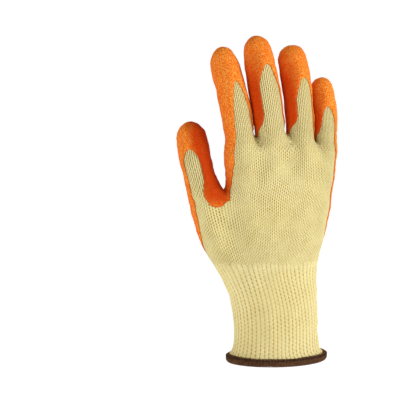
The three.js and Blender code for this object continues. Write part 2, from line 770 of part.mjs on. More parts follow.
// Cuts the surface along the coat's edge and keeps the coated side. Points nearer to the
// edge than snap are taken as lying on it, so that no sliver is left.
function coatedPatch(surface, field, snap) {
  const values = field.map((value) => (Math.abs(value) < snap ? 0 : value));
  const points = [...surface.points];
  const normals = [...surface.normals];
  const crossings = new Map();
  const crossing = (a, b) => {
    const key = a < b ? `${a},${b}` : `${b},${a}`;
    if (!crossings.has(key)) {
      const share = values[a] / (values[a] - values[b]);
      crossings.set(key, points.length);
      points.push(points[a].clone().lerp(points[b], share));
      normals.push(normals[a].clone().lerp(normals[b], share).normalize());
    }
    return crossings.get(key);
  };
  const faces = [];
  surface.faces.forEach(({ corners }) => {
    if (corners.every((corner) => values[corner] >= 0)) {
      if (corners.some((corner) => values[corner] > 0)) faces.push(corners);
      return;
    }
    [[0, 1, 2], [0, 2, 3]].forEach((triple) => {
      const triangle = triple.map((i) => corners[i]);
      if (!triangle.some((corner) => values[corner] > 0)) return;
      const kept = [];
      triangle.forEach((a, i) => {
        const b = triangle[(i + 1) % 3];
        if (values[a] >= 0) kept.push(a);
        if (values[a] * values[b] < 0) kept.push(crossing(a, b));
      });
      if (kept.length > 2) faces.push(kept);
    });
  });
  return { points, normals, faces };
}

// Finer columns and rows in each face of the net after two rounds, and the net's row where
// the ribs end, half a row above the cuff's own
const FINE = 4;
const RIB_TOP = CUFF_ROWS.length - 0.5;
const lowestRow = ({ marks }) => Math.min(...marks.map((mark) => mark[1]));
const isRibbed = (face) => face.part === 'cuff' || (face.part === 'hand' && lowestRow(face) < RIB_TOP);

// The ribbed cuff: every second column stands out, with the same wall everywhere. The lowest
// rim is cut level, so that the hem seats on it.
function cuffPatch(fine) {
  const columns = COLUMNS * FINE;
  const top = RIB_TOP * FINE;
  const rows = [0, FINE, 2 * FINE, top - FINE, top - FINE / 2, top];
  const grid = new Map();
  fine.faces.filter(isRibbed).forEach(({ corners, marks }) => {
    corners.forEach((index, i) => {
      const column = Math.round(marks[i][0] * FINE) % columns;
      grid.set(`${column},${Math.round(marks[i][1] * FINE)}`, index);
    });
  });
  const points = [];
  const normals = [];
  rows.forEach((row) => {
    for (let column = 0; column < columns; column += 1) {
      const index = grid.get(`${column},${row}`);
      const normal = fine.normals[index].clone();
      if (row === 0) normal.setZ(0).normalize();
      const relief = column % 2 === 0 ? 0 : -RIB_RELIEF;
      points.push(fine.points[index].clone().addScaledVector(normal, relief));
      normals.push(normal);
    }
  });
  const faces = [];
  for (let row = 0; row < rows.length - 1; row += 1) {
    for (let column = 0; column < columns; column += 1) {
      const next = (column + 1) % columns;
      const low = row * columns;
      const high = low + columns;
      faces.push([low + column, low + next, high + next, high + column]);
    }
  }
  return { points, normals, faces, columns };
}

// The overlocked hem: a rounded band that follows the cuff's lower rim
function hemGeometry(cuff) {
  const halfThick = HEM_THICKNESS / 2;
  const halfHigh = (HEM_HEIGHT - SEAM_CLEARANCE / 2) / 2;
  const shoulder = halfThick * HEM_SHOULDER;
  const profile = [
    [halfThick, 0], [shoulder, halfHigh], [-shoulder, halfHigh],
    [-halfThick, 0], [-shoulder, -halfHigh], [shoulder, -halfHigh],
  ];
  const positions = [];
  const step = 2;
  const count = cuff.columns / step;
  for (let i = 0; i < count; i += 1) {
    const rim = cuff.points[i * step];
    const outward = cuff.normals[i * step];
    const middle = rim.clone().addScaledVector(outward, -KNIT_WALL / 2);
    middle.z -= SEAM_CLEARANCE / 2 + halfHigh;
    profile.forEach(([out, up]) => {
      positions.push(middle.x + outward.x * out, middle.y + outward.y * out, middle.z + up);
    });
  }
  const triangles = [];
  const size = profile.length;
  for (let i = 0; i < count; i += 1) {
    const next = (i + 1) % count;
    for (let k = 0; k < size; k += 1) {
      const after = (k + 1) % size;
      const a = i * size + k;
      const b = next * size + k;
      const c = next * size + after;
      const d = i * size + after;
      triangles.push(a, b, c, a, c, d);
    }
  }
  return triangleGeometry(positions, triangles);
}

const knit = new THREE.MeshStandardMaterial({ color: KNIT_COLOUR, roughness: 0.92, metalness: 0 });
const latex = new THREE.MeshStandardMaterial({ color: COAT_COLOUR, roughness: 0.55, metalness: 0 });
const thread = new THREE.MeshStandardMaterial({ color: HEM_COLOUR, roughness: 0.9, metalness: 0 });

const group = new THREE.Group();
function addPiece(name, geometry, material) {
  const mesh = new THREE.Mesh(geometry, material);
  mesh.name = name;
  group.add(mesh);
}

const digits = digitSizes();
const cage = gloveNet(digits);
settle(cage);
const surface = smoothSurface(cage, 1);
const fine = smoothSurface(cage, 2);
const seam = SEAM_CLEARANCE / 2;

// The first half row of every digit is its collar on the hand
const COLLAR = 0.5;
const onHand = (face) => !isRibbed(face) && (face.part === 'hand' || lowestRow(face) < COLLAR);
addPiece('knit_hand', wallGeometry(patchOf(surface, onHand), 0, -KNIT_WALL, seam), knit);
digits.forEach((digit) => {
  const patch = patchOf(surface, (face) => face.part === digit.name && !onHand(face));
  const name = digit.name === 'thumb' ? 'knit_thumb' : `knit_${digit.name}_finger`;
  addPiece(name, wallGeometry(patch, 0, -KNIT_WALL, seam), knit);
});

const cuff = cuffPatch(fine);
addPiece('rib_cuff', wallGeometry(cuff, 0, -KNIT_WALL, seam), knit);
addPiece('overlock_hem', hemGeometry(cuff), thread);

const snap = COAT_WALL * SNAP_SHARE;
const coat = coatedPatch(surface, coatField(surface, digits), snap);
const coatOuter = COAT_CLEARANCE + COAT_WALL;
addPiece('latex_coating', wallGeometry(coat, coatOuter, COAT_CLEARANCE, 0), latex);

export default group;
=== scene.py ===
"""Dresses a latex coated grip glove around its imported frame. Blender works in metres.

The glove stands on its opening with the fingers up, +Z. The back of the hand looks to -Y,
the palm to +Y, and the thumb lies on the -X side. Sizes below are millimetres.
"""

import logging
from dataclasses import dataclass
from enum import Enum
from typing import NamedTuple

import bpy
import numpy as np
from mathutils import Matrix, Vector


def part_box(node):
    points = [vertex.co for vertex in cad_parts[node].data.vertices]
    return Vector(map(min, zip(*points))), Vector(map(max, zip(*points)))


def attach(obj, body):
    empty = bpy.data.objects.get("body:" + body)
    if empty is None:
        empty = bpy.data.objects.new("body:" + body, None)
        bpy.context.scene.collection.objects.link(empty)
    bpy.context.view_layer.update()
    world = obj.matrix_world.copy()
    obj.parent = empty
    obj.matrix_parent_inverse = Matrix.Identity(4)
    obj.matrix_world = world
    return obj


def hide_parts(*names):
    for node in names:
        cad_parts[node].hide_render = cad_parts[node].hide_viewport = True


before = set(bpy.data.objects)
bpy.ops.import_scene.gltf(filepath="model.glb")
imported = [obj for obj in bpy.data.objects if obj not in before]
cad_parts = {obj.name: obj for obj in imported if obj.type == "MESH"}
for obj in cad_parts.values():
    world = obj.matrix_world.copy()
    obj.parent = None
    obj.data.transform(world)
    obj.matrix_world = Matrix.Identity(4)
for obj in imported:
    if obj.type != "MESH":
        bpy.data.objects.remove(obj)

MM = 0.001
HALF_TURN = 180.0
FULL_TURN = 360.0
STITCH_MAP = "stitch"
EDGE_ATTRIBUTE = "edge"
# Where the latex is painted in shade.
PAINTED_SHADE_ATTRIBUTE = "shade"
DIGIT_ATTRIBUTE = "digit"
FADE_ATTRIBUTE = "fade"
OUT_ATTRIBUTE = "out"
BARE = -1e3

log = logging.getLogger("glove")


class Slot(Enum):
    """The record's material slots."""

    KNIT = "knit"
    LATEX = "latex"
    THREAD = "hem_thread"


class Section(NamedTuple):
    """One section of the hand: shares of a length, a breadth and a depth.

    The last column is the hem's rise, the split into palm and thumb, or the valley
    between two knuckles, as its table says.
    """

    height: float
    left: float
    right: float
    back: float
    front: float
    blend: float


class DigitRow(NamedTuple):
    """One finger or the thumb, in shares of the palm's breadth and depth."""

    name: str
    across: tuple
    base: float
    tip_across: float
    tip_depth: float
    length: float
    widths: tuple
    web_rise: float
    sway: float
    apex: float
    bow: float
    turn: float
    opening: float
    roots: tuple


class Crease(NamedTuple):
    """A crease of the palm or a fold of the back, from end to end in shares.

    One that is less than nothing deep is a ridge.
    """

    across: tuple
    height: tuple
    deep: float
    wide: float


CUFF_ROWS = (
    Section(0.0, 0.545, 0.53, 0.53, 0.53, 1.0),
    Section(0.12, 0.489, 0.458, 0.492, 0.492, 0.6),
    Section(0.575, 0.497, 0.446, 0.465, 0.475, 0.15),
    Section(1.0, 0.641, 0.432, 0.425, 0.455, 0.0),
)
HAND_ROWS = (
    Section(0.2, 0.628, 0.386, 0.54, 0.61, 0.5),
    Section(0.42, 0.717, 0.437, 0.505, 0.57, 0.85),
    Section(0.63, 0.768, 0.473, 0.475, 0.53, 1.0),
)
PALM_ROWS = (
    Section(0.745, 0.448, 0.493, 0.47, 0.515, 0.02),
    Section(0.875, 0.455, 0.512, 0.44, 0.485, 0.1),
    Section(1.0, 0.462, 0.53, 0.392, 0.435, 0.22),
)
FINGERS = (
    DigitRow("index", (-0.454, -0.19), 0.03, -0.478, 0.42, 0.895, (0.231, 0.242, 0.214), 0.13,
             0.018, 0.69, 1.6, 5.0, 46.0, (46.0, 84.0)),
    DigitRow("middle", (-0.19, 0.087), -0.01, -0.168, 0.41, 1.0, (0.238, 0.257, 0.224), 0.15,
             0.004, 0.77, 0.85, 5.0, 48.0, (95.0, 88.0)),
    DigitRow("ring", (0.087, 0.333), 0.02, 0.155, 0.43, 0.925, (0.21, 0.235, 0.22), 0.085,
             0.012, 0.7, 0.85, 13.0, 47.0, (101.0, 82.0)),
    DigitRow("little", (0.333, 0.532), 0.07, 0.428, 0.42, 0.635, (0.172, 0.2, 0.182), 0.07,
             0.01, 0.62, 0.8, -6.0, 40.0, (88.0, 40.0)),
)
THUMB = DigitRow("thumb", (-0.622, -0.622), 0.22, -0.735, 0.54, 1.0, (1.0, 0.99, 0.87), 0.04,
                 -0.022, 0.665, 0.36, -14.0, 32.0, (32.0, 14.0))
COAT_EDGE = (
    (0.0, 0.235), (0.2, 0.255), (0.65, 0.34), (0.9, 0.43), (1.0, 0.5), (1.08, 0.6),
    (1.15, 1.3), (1.85, 1.3), (1.93, 0.72), (2.03, 0.626), (2.15, 0.59), (2.3, 0.57),
    (2.5, 0.562), (2.7, 0.567), (2.85, 0.585), (3.0, 0.63), (3.08, 0.7), (3.15, 0.85),
    (3.22, 1.3), (10.6, 1.3), (10.95, 0.95), (11.15, 0.68), (11.3, 0.52), (11.5, 0.38),
    (11.8, 0.28), (12.0, 0.22), (12.3, 0.12), (12.6, 0.04), (13.0, -0.03), (14.0, -0.12),
    (15.0, -0.165), (16.0, -0.19), (18.0, -0.2), (20.0, -0.185), (21.0, -0.14), (22.0, -0.05),
    (22.6, 0.035), (23.2, 0.115), (24.0, 0.235),
)
COAT_SIDE = ((0.6, -0.47), (0.645, -0.452), (0.709, -0.434), (0.8, -0.428), (0.94, -0.415))
CREASES = (
    Crease((-0.36, -0.13), (0.66, 0.24), 0.06, 0.06),
    Crease((-0.46, -0.5), (0.47, 0.22), 0.03, 0.05),
    Crease((-0.3, 0.34), (0.84, 0.76), 0.03, 0.06),
)
FOLDS = (
    Crease((-0.33, -0.33), (1.0, 0.6), -0.03, 0.09),
    Crease((-0.07, -0.09), (1.0, 0.6), -0.03, 0.09),
    Crease((0.19, 0.15), (1.0, 0.6), -0.03, 0.085),
    Crease((0.41, 0.36), (0.98, 0.6), -0.025, 0.07),
    Crease((-0.37, -0.27), (0.9, 0.0), 0.035, 0.1),
    Crease((-0.2, -0.22), (1.1, 0.94), -0.035, 0.045),
    Crease((0.075, 0.06), (1.1, 0.94), -0.035, 0.045),
    Crease((0.32, 0.3), (1.08, 0.92), -0.035, 0.04),
)
CREASE_END = 0.08
RIB_TOP = len(CUFF_ROWS) - 0.5
OVERLAP = 0.25
TUCK = 0.12


@dataclass
class QuadNet:
    """A net of quads, whose faces keep their part and the coordinates of their corners."""

    points: np.ndarray
    quads: np.ndarray
    marks: np.ndarray
    parts: np.ndarray

    def edges(self) -> tuple[np.ndarray, np.ndarray, np.ndarray]:
        """Finds the net's edges.

        Returns:
            The two points of each edge, the edge after each corner, and how many faces
            each edge has.
        """
        count = len(self.points)
        ends = np.stack([self.quads, np.roll(self.quads, -1, axis=1)], axis=2).reshape(-1, 2)
        ends.sort(axis=1)
        keys, side, faces = np.unique(
            ends[:, 0] * count + ends[:, 1], return_inverse=True, return_counts=True
        )
        pairs = np.stack([keys // count, keys % count], axis=1)
        return pairs, side.reshape(-1, 4), faces

    def gather(self, index: np.ndarray, values: np.ndarray, count: int) -> np.ndarray:
        """Sums the rows of values that share an index.

        Args:
            index: The index of each row.
            values: The rows of three.
            count: Number of sums.

        Returns:
            The sums.
        """
        return np.stack(
            [np.bincount(index, values[:, axis], count) for axis in range(3)], axis=1
        )

    def refined(self) -> "QuadNet":
        """Subdivides the net once by Catmull and Clark's rule.

        Returns:
            The finer net; its first points are the old ones, moved.
        """
        pairs, side, faces = self.edges()
        count, edge_count = len(self.points), len(pairs)
        corners = self.quads.ravel()
        centres = self.points[self.quads].mean(axis=1)
        middles = self.points[pairs].mean(axis=1)
        rim = faces == 1
        around = self.gather(side.ravel(), np.repeat(centres, 4, axis=0), edge_count)
        edge_points = np.where(rim[:, None], middles, (2 * middles + around) / 4)
        valence = np.bincount(pairs.ravel(), minlength=count)[:, None]
        uses = np.bincount(corners, minlength=count)[:, None]
        face_mean = self.gather(corners, np.repeat(centres, 4, axis=0), count) / uses
        edge_mean = self.gather(pairs.ravel(), np.repeat(middles, 2, axis=0), count) / valence
        moved = (face_mean + 2 * edge_mean + (valence - 3) * self.points) / valence
        rim_sum = self.gather(pairs[rim].ravel(), np.repeat(middles[rim], 2, axis=0), count)
        on_rim = np.zeros(count, bool)
        on_rim[pairs[rim].ravel()] = True
        moved[on_rim] = (rim_sum[on_rim] + 2 * self.points[on_rim]) / 4
        points = np.vstack([moved, edge_points, centres])
        centre_index = count + edge_count + np.arange(len(self.quads))
        centre_mark = self.marks.mean(axis=1)
        quads, marks = [], []
        for corner in range(4):
            after, before = (corner + 1) % 4, (corner + 3) % 4
            quads.append(np.stack([
                self.quads[:, corner], count + side[:, corner],
                centre_index, count + side[:, before],
            ], axis=1))
            here = self.marks[:, corner]
            marks.append(np.stack([
                here, (here + self.marks[:, after]) / 2,
                centre_mark, (here + self.marks[:, before]) / 2,
            ], axis=1))
        return QuadNet(points, np.concatenate(quads), np.concatenate(marks),
                       np.tile(self.parts, 4))

    def limit(self) -> np.ndarray:
        """Finds the smooth surface that the net stands for.

        Returns:
            Where each point of the net lies on it.
        """
        pairs, _, faces = self.edges()
        count = len(self.points)
        rim = pairs[faces == 1]
        both = np.concatenate([pairs, pairs[:, ::-1]])
        neighbours = self.gather(both[:, 0], self.points[both[:, 1]], count)
        across = self.points[np.roll(self.quads, 2, axis=1).ravel()]
        opposites = self.gather(self.quads.ravel(), across, count)
        valence = np.bincount(pairs.ravel(), minlength=count)[:, None]
        reached = (valence ** 2 * self.points + 4 * neighbours + opposites)
        reached /= valence * (valence + 5)
        rim_both = np.concatenate([rim, rim[:, ::-1]])
        rim_sum = self.gather(rim_both[:, 0], self.points[rim_both[:, 1]], count)
        on_rim = np.zeros(count, bool)
        on_rim[rim.ravel()] = True
        reached[on_rim] = (4 * self.points[on_rim] + rim_sum[on_rim]) / 6
        return reached

    def settle(self, rounds: int) -> None:
        """Moves the points until the smooth surface passes through their first places.

        Args:
            rounds: How often the points are corrected.
        """
        wanted = self.points.copy()
        for _ in range(rounds):
            self.points = self.points + wanted - self.limit()

    def normals(self) -> np.ndarray:
        """Averages the faces around each point.

        Returns:
            The outward unit normals at the points.
        """
        corner = self.points[self.quads]
        face = np.cross(corner[:, 2] - corner[:, 0], corner[:, 3] - corner[:, 1])
        total = self.gather(self.quads.ravel(), np.repeat(face, 4, axis=0), len(self.points))
        return total / np.linalg.norm(total, axis=1)[:, None].clip(1e-12)


@dataclass
class GloveForm:
    """The glove's smooth surface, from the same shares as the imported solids."""

    finger_top: float
    thumb_top: float
    cuff_length: float = 70.0
    hem_height: float = 6.0
    hand_length: float = 97.0
    cuff_breadth: float = 74.0
    cuff_depth: float = 48.0
    palm_breadth: float = 92.0
    palm_depth: float = 34.0
    thumb_width: float = 23.6
    hem_rise: float = 0.8
    columns: int = 24
    digit_columns: int = 8
    web_column: int = 3
    settle_rounds: int = 24
    palm_exponent: float = 2.6
    corner_inset: float = 0.035
    root_fullness: float = 2.0
    thumb_roll: float = -18.0
    finger_roll: float = 8.0
    corner_degrees: float = -135.0
    depth_shares: tuple = (1.0, 0.93, 0.87)
    width_stops: tuple = (0.0, 0.5, 0.85)
    finger_stations: tuple = (0.18, 0.53, 0.88)
    thumb_stations: tuple = (0.24, 0.58, 0.88)
    flex_exponent: float = 1.7
    course_step: float = 0.02
    roundest: float = 0.95
    web_reach: float = 0.85
    web_across: float = 0.476
    web_middle: float = 0.12
    web_back: float = 0.17
    web_front: float = 0.42
    web_height: float = 0.69
    web_edge: float = 0.64
    edge_step: float = 0.05

    def __post_init__(self) -> None:
        """Works out the sizes that follow from the others, and the control net."""
        self.right_middle = self.columns // 2
        self.hand_top = self.cuff_length + self.hand_length
        self.thumb_root = self.height(HAND_ROWS[-1].height)
        self.digit_turn = FULL_TURN / self.digit_columns
        self.rows = (*FINGERS, THUMB)
        self.part_names = ["cuff", "hand"] + [row.name for row in self.rows]
        self._points, self._quads, self._marks, self._parts = [], [], [], []
        self.cage = self._net()

    def height(self, share: float) -> float:
        """Height of a share of the hand's length above the cuff."""
        return self.cuff_length + share * self.hand_length

    def _point(self, x: float, y: float, z: float) -> int:
        """Adds a point and returns its number."""
        self._points.append([x, y, z])
        return len(self._points) - 1

    def _size(self, row: Section, breadth: float, depth: float) -> list:
        """How far a section reaches left, right, back and front, in mm."""
        return [row.left * breadth, row.right * breadth, row.back * depth, row.front * depth]

    def _band(self, lower: list, upper: list, columns: list, row: int, part: str) -> None:
        """Adds the faces between two rings of the same count.

        Args:
            lower: The lower ring's points.
            upper: The upper ring's points.
            columns: The columns at each face's two sides.
            row: The row of the lower ring.
            part: The part that the faces belong to.
        """
        for i, (start, stop) in enumerate(columns):
            j = (i + 1) % len(lower)
            self._quads.append([lower[i], lower[j], upper[j], upper[i]])
            self._marks.append([[start, row], [stop, row], [stop, row + 1], [start, row + 1]])
            self._parts.append(self.part_names.index(part))

    def _oval(self, size: tuple, column: int) -> tuple[float, float]:
        """Places one point of an oval section, its columns evenly spaced along the rim.

        Args:
            size: How far the section reaches left, right, back and front.
            column: The point's column.

        Returns:
            The point's place across and in depth.
        """
        left, right, back, front = size
        even = column / self.columns * 2 * np.pi
        flatness = (right + left - back - front) / (right + left + back + front)
        angle = even + flatness / 2 * np.sin(2 * even)
        across, outward = -np.cos(angle), -np.sin(angle)
        x = (right - left) / 2 + across * (right + left) / 2
        return x, outward * (back if outward < 0 else front)

    def _squarish(self, x: float, left: float, right: float) -> float:
        """How deep the palm's section is at x, 1 in the middle and 0 at the sides."""
        share = abs((2 * x - left - right) / (right - left))
        return max(0.0, 1 - share ** self.palm_exponent) ** (1 / self.palm_exponent)

    def _palm_columns(self, left: float, right: float) -> list:
        """Spreads the columns over the palm by the fingers' shares.

        Args:
            left: Where the palm begins, at the thumb's web.
            right: Where it ends.

        Returns:
            Where each column of the back stands across the palm.
        """
        low, high = FINGERS[0].across[0], FINGERS[-1].across[1]
        shares = []
        for row in FINGERS:
            shares += [row.across[0], sum(row.across) / 2]
        shares.append(high)
        placed = [left + (right - left) * (share - low) / (high - low) for share in shares]
        placed[0] += self.corner_inset * self.palm_breadth
        placed[-1] -= self.corner_inset * self.palm_breadth
        return placed

    def _digit_point(self, width: float, depth: float, column: float, roll: float) -> tuple:
        """Places one point of a digit's section, counted from its back's left corner.

        Args:
            width: The section's width.
            depth: Its depth.
            column: The point's column.
            roll: How far the section is turned, in degrees.

        Returns:
            The point's place across and in depth.
        """
        angle = np.radians(self.corner_degrees + self.digit_turn * column)
        x, y = np.cos(angle) * width / 2, np.sin(angle) * depth / 2
        turn = np.radians(roll)
        return x * np.cos(turn) - y * np.sin(turn), x * np.sin(turn) + y * np.cos(turn)

    def _root(self, size: tuple, column: int) -> tuple[float, float]:
        """Places one point of the outline of palm and thumb at the thumb's root.

        Args:
            size: How far the outline reaches left, right, back and front.
            column: The point's column.

        Returns:
            The point's place across and in depth.
        """
        _, right, back_depth, front_depth = size
        from_left = column if column <= self.right_middle else self.columns - column
        back = column < self.right_middle
        web_x = -self.web_across * self.palm_breadth
        if from_left < self.web_column:
            own = (column - 1) % self.columns
            if own >= self.web_column:
                own += self.digit_columns - self.columns
            girth = self.thumb_width + self.root_fullness
            off = self._digit_point(girth, girth * self.depth_shares[0], own, self.thumb_roll)
            return (THUMB.across[0] * self.palm_breadth + off[0],
                    THUMB.base * self.palm_depth + off[1])
        if from_left == self.web_column:
            return web_x, (-self.web_back if back else self.web_front) * self.palm_depth
        if from_left == self.right_middle:
            return right, self.web_middle * self.palm_depth / 3
        x = self._palm_columns(web_x, right)[from_left - self.web_column]
        depth = -back_depth if back else front_depth
        return x, depth * self._squarish(x, web_x, right)

    def _lower_rings(self) -> list:
        """Adds the cuff, and the hand up to the thumb's root.

        Returns:
            The rings, the lowest first.
        """
        rings = []
        everywhere = range(self.columns)
        for row in CUFF_ROWS:
            size = self._size(row, self.cuff_breadth, self.cuff_depth)
            ring = []
            for column in everywhere:
                x, y = self._oval(size, column)
                side = (2 * x + size[0] - size[1]) / (size[0] + size[1])
                z = self.hem_height + (self.cuff_length - self.hem_height) * row.height
                ring.append(self._point(x, y, z + row.blend * self.hem_rise * side * side))
            rings.append(ring)
        root = self._size(HAND_ROWS[-1], self.palm_breadth, self.palm_depth)
        for row in HAND_ROWS:
            size = self._size(row, self.palm_breadth, self.palm_depth)
            ring = []
            for column in everywhere:
                oval = self._oval(size, column)
                x, y = self._root(root, column)
                x = (x + root[0]) / (root[0] + root[1]) * (size[0] + size[1]) - size[0]
                y *= size[2] / root[2] if y < 0 else size[3] / root[3]
                x = oval[0] + (x - oval[0]) * row.blend
                y = oval[1] + (y - oval[1]) * row.blend
                ring.append(self._point(x, y, self.height(row.height)))
            rings.append(ring)
        columns = [(column, column + 1) for column in everywhere]
        for i in range(1, len(rings)):
            part = "cuff" if i < len(CUFF_ROWS) else "hand"
            self._band(rings[i - 1], rings[i], columns, i - 1, part)
        return rings

    def _palm_rings(self, root: list, web: int, first_row: int) -> list:
        """Adds the palm above the thumb's root.

        Args:
            root: The ring at the thumb's root.
            web: The point in the thumb's web.
            first_row: The row of the root ring.

        Returns:
            The last ring, which the fingers grow from.
        """
        last = self.right_middle - self.web_column
        count = 2 * (last + 1)
        first = root[self.web_column:self.columns - self.web_column + 1]
        rings = [[web, *first]]
        for row in PALM_ROWS:
            left, right = row.left * self.palm_breadth, row.right * self.palm_breadth
            across = self._palm_columns(-left, right)
            z = self.height(row.height)
            middle = self.web_middle * self.palm_depth / 2
            ring = []
            for i in range(count):
                from_left = i if i <= last + 1 else count - i
                if from_left == 0:
                    ring.append(self._point(-left, middle, z))
                elif from_left == last + 1:
                    ring.append(self._point(right, middle, z))
                else:
                    x = across[from_left - 1]
                    between = from_left % 2 == 1 and 1 < from_left < last
                    depth = -row.back if i < last + 1 else row.front
                    depth *= self.palm_depth * self._squarish(x, -left, right)
                    ring.append(self._point(x, depth * (1 - row.blend * between), z))
            rings.append(ring)
        columns = [(i + self.web_column - 1, i + self.web_column) for i in range(count)]
        for i in range(1, len(rings)):
            self._band(rings[i - 1], rings[i], columns, first_row + i - 1, "hand")
        return rings[-1]

    def ends(self, row: DigitRow) -> tuple[np.ndarray, np.ndarray]:
        """Places a digit's two ends.

        Args:
            row: The digit.

        Returns:
            The middle of its root, and its tip.
        """
        thumb = row.name == THUMB.name
        bottom = self.thumb_root if thumb else self.hand_top
        top = self.thumb_top if thumb else bottom + row.length * (self.finger_top - bottom)
        start = np.array([sum(row.across) / 2 * self.palm_breadth,
                          row.base * self.palm_depth, bottom])
        tip = np.array([row.tip_across * self.palm_breadth,
                        row.tip_depth * self.palm_depth, top])
        return start, tip

    def widths(self, row: DigitRow) -> np.ndarray:
        """A digit's widths at its root, middle and end."""
        unit = self.thumb_width if row.name == THUMB.name else self.palm_breadth
        return np.array(row.widths) * unit

    def webs(self, index: int) -> tuple[float, float]:
        """Finds the crotches beside a digit.

        Args:
            index: The digit's place among the rows.

        Returns:
            The heights of the crotches on its two sides.
        """
        row = self.rows[index]
        if row.name == THUMB.name:
            web = self.thumb_root + row.web_rise * self.palm_breadth
            return web, web
        before = self.rows[max(0, index - 1)]
        return tuple(self.hand_top + side.web_rise * self.palm_breadth
                     for side in (before, row))

    def _digit(self, base: list, row: DigitRow) -> None:
        """Adds a finger or the thumb.

        Args:
            base: The ring of eight points that it grows from.
            row: The digit.
        """
        thumb = row.name == THUMB.name
        stations = self.thumb_stations if thumb else self.finger_stations
        roll = self.thumb_roll if thumb else self.finger_roll
        start, tip = self.ends(row)
        widths = self.widths(row)
        length = tip[2] - start[2]
        tip_radius = widths[2] / 2

        def middle_line(share: float) -> np.ndarray:
            """Places the middle of the section at a share of the digit's length.

            Args:
                share: The share.

            Returns:
                The place.
            """
            point = start + (tip - start) * share
            point[0] += row.sway * self.palm_breadth * np.sin(np.pi * share)
            point[1] = start[1] + (tip[1] - start[1]) * share ** self.flex_exponent
            return point

        rings = [base]
        for station in stations:
            ahead = middle_line(station + self.course_step)
            course = ahead - middle_line(station - self.course_step)
            course /= np.linalg.norm(course)
            across = np.array([1.0, 0, 0]) - course * course[0]
            across /= np.linalg.norm(across)
            inward = np.cross(course, across)
            beyond = (station * length - length + tip_radius) / tip_radius
            beyond = min(max(beyond, 0.0), self.roundest)
            width = np.interp(station, self.width_stops, widths) * np.sqrt(1 - beyond ** 2)
            depth = width * np.interp(station, self.width_stops, self.depth_shares)
            ring = []
            for column in range(self.digit_columns):
                x, y = self._digit_point(width, depth, column, roll)
                ring.append(self._point(*(middle_line(station) + across * x + inward * y)))
            rings.append(ring)
        columns = [(i, i + 1) for i in range(self.digit_columns)]
        for i in range(1, len(rings)):
            self._band(rings[i - 1], rings[i], columns, i - 1, row.name)
        end = self._point(*tip)
        last, top = rings[-1], len(stations)
        for i in range(0, self.digit_columns, 2):
            before = (i + self.digit_columns - 1) % self.digit_columns
            self._quads.append([end, last[before], last[i], last[i + 1]])
            self._marks.append([[i, top + 1], [i - 1, top], [i, top], [i + 1, top]])
            self._parts.append(self.part_names.index(row.name))

    def _net(self) -> QuadNet:
        """Puts the whole control net together.

        Returns:
            The net, open only at the wrist.
        """
        lower = self._lower_rings()
        root = lower[-1]
        web_x = -self.web_across * self.palm_breadth
        for index in (root[self.web_column], root[self.columns - self.web_column]):
            self._points[index][2] = self.height(self.web_edge)
        web = self._point(web_x, self.web_middle * self.palm_depth,
                          self.height(self.web_height))
        top = self._palm_rings(root, web, len(lower) - 1)
        webs = [top[0]]
        for row in FINGERS[:-1]:
            z = self.hand_top + row.web_rise * self.palm_breadth
            webs.append(self._point(row.across[1] * self.palm_breadth, 0.0, z))
        webs.append(top[len(top) // 2])
        for i, row in enumerate(FINGERS):
            back = top[1 + 2 * i:4 + 2 * i]
            front = top[len(top) - 3 - 2 * i:len(top) - 2 * i]
            self._digit([*back, webs[i + 1], *front, webs[i]], row)
        front = root[self.columns - self.web_column:]
        self._digit([*root[1:self.web_column + 1], web, *front, root[0]], THUMB)
        net = QuadNet(np.array(self._points, float), np.array(self._quads),
                      np.array(self._marks, float), np.array(self._parts))
        net.settle(self.settle_rounds)
        return net

    def on_thumb(self, net: QuadNet) -> np.ndarray:
        """Finds the thumb's points.

        Args:
            net: The net.

        Returns:
            Whether each point belongs to the thumb.
        """
        mask = np.zeros(len(net.points), bool)
        mask[net.quads[net.parts == self.part_names.index(THUMB.name)].ravel()] = True
        return mask

    def above(self, net: QuadNet, row: float) -> np.ndarray:
        """Which faces lie above a row of the cuff and hand."""
        return (net.parts > 1) | (net.marks[:, :, 1].min(axis=1) >= row)

    def crease_depth(self, points: np.ndarray, normals: np.ndarray) -> np.ndarray:
        """Works out how far the palm's creases and the back's folds sink the surface.

        Args:
            points: Places on the surface.
            normals: The outward normals there.

        Returns:
            The depth at each place, in mm.
        """
        toward_palm = normals[:, 1].clip(0, None)
        toward_back = (-normals[:, 1]).clip(0, None)
        return self._sunk(points, CREASES) * toward_palm + self._sunk(points, FOLDS) * toward_back

    def _sunk(self, points: np.ndarray, creases: tuple) -> np.ndarray:
        """Adds up the depths of some creases, seen from the front.

        Args:
            points: Places on the surface.
            creases: The creases.

        Returns:
            The depth at each place, in mm.
        """
        total = np.zeros(len(points))
        flat = points[:, [0, 2]]
        for crease in creases:
            start = np.array([crease.across[0] * self.palm_breadth,
                              self.height(crease.height[0])])
            stop = np.array([crease.across[1] * self.palm_breadth,
                             self.height(crease.height[1])])
            course = stop - start
            share = ((flat - start) @ course / (course @ course)).clip(0, 1)
            off = np.linalg.norm(flat - start - share[:, None] * course, axis=1)
            off /= crease.wide * self.palm_breadth
            fade = np.sin(np.pi * share.clip(CREASE_END, 1 - CREASE_END))
            total += crease.deep * self.palm_depth * fade * np.exp(-off * off)
        return total

    def surface(self, rounds: int) -> tuple[QuadNet, np.ndarray]:
        """Refines the net and lays it on the smooth surface, creases sunk in.

        Args:
            rounds: How often it is subdivided.

        Returns:
            The fine net and its outward normals.
        """
        net = self.cage
        for _ in range(rounds):
            net = net.refined()
        placed = QuadNet(net.limit(), net.quads, net.marks, net.parts)
        normals = placed.normals()
        placed.points -= normals * self.crease_depth(placed.points, normals)[:, None]
        return placed, placed.normals()

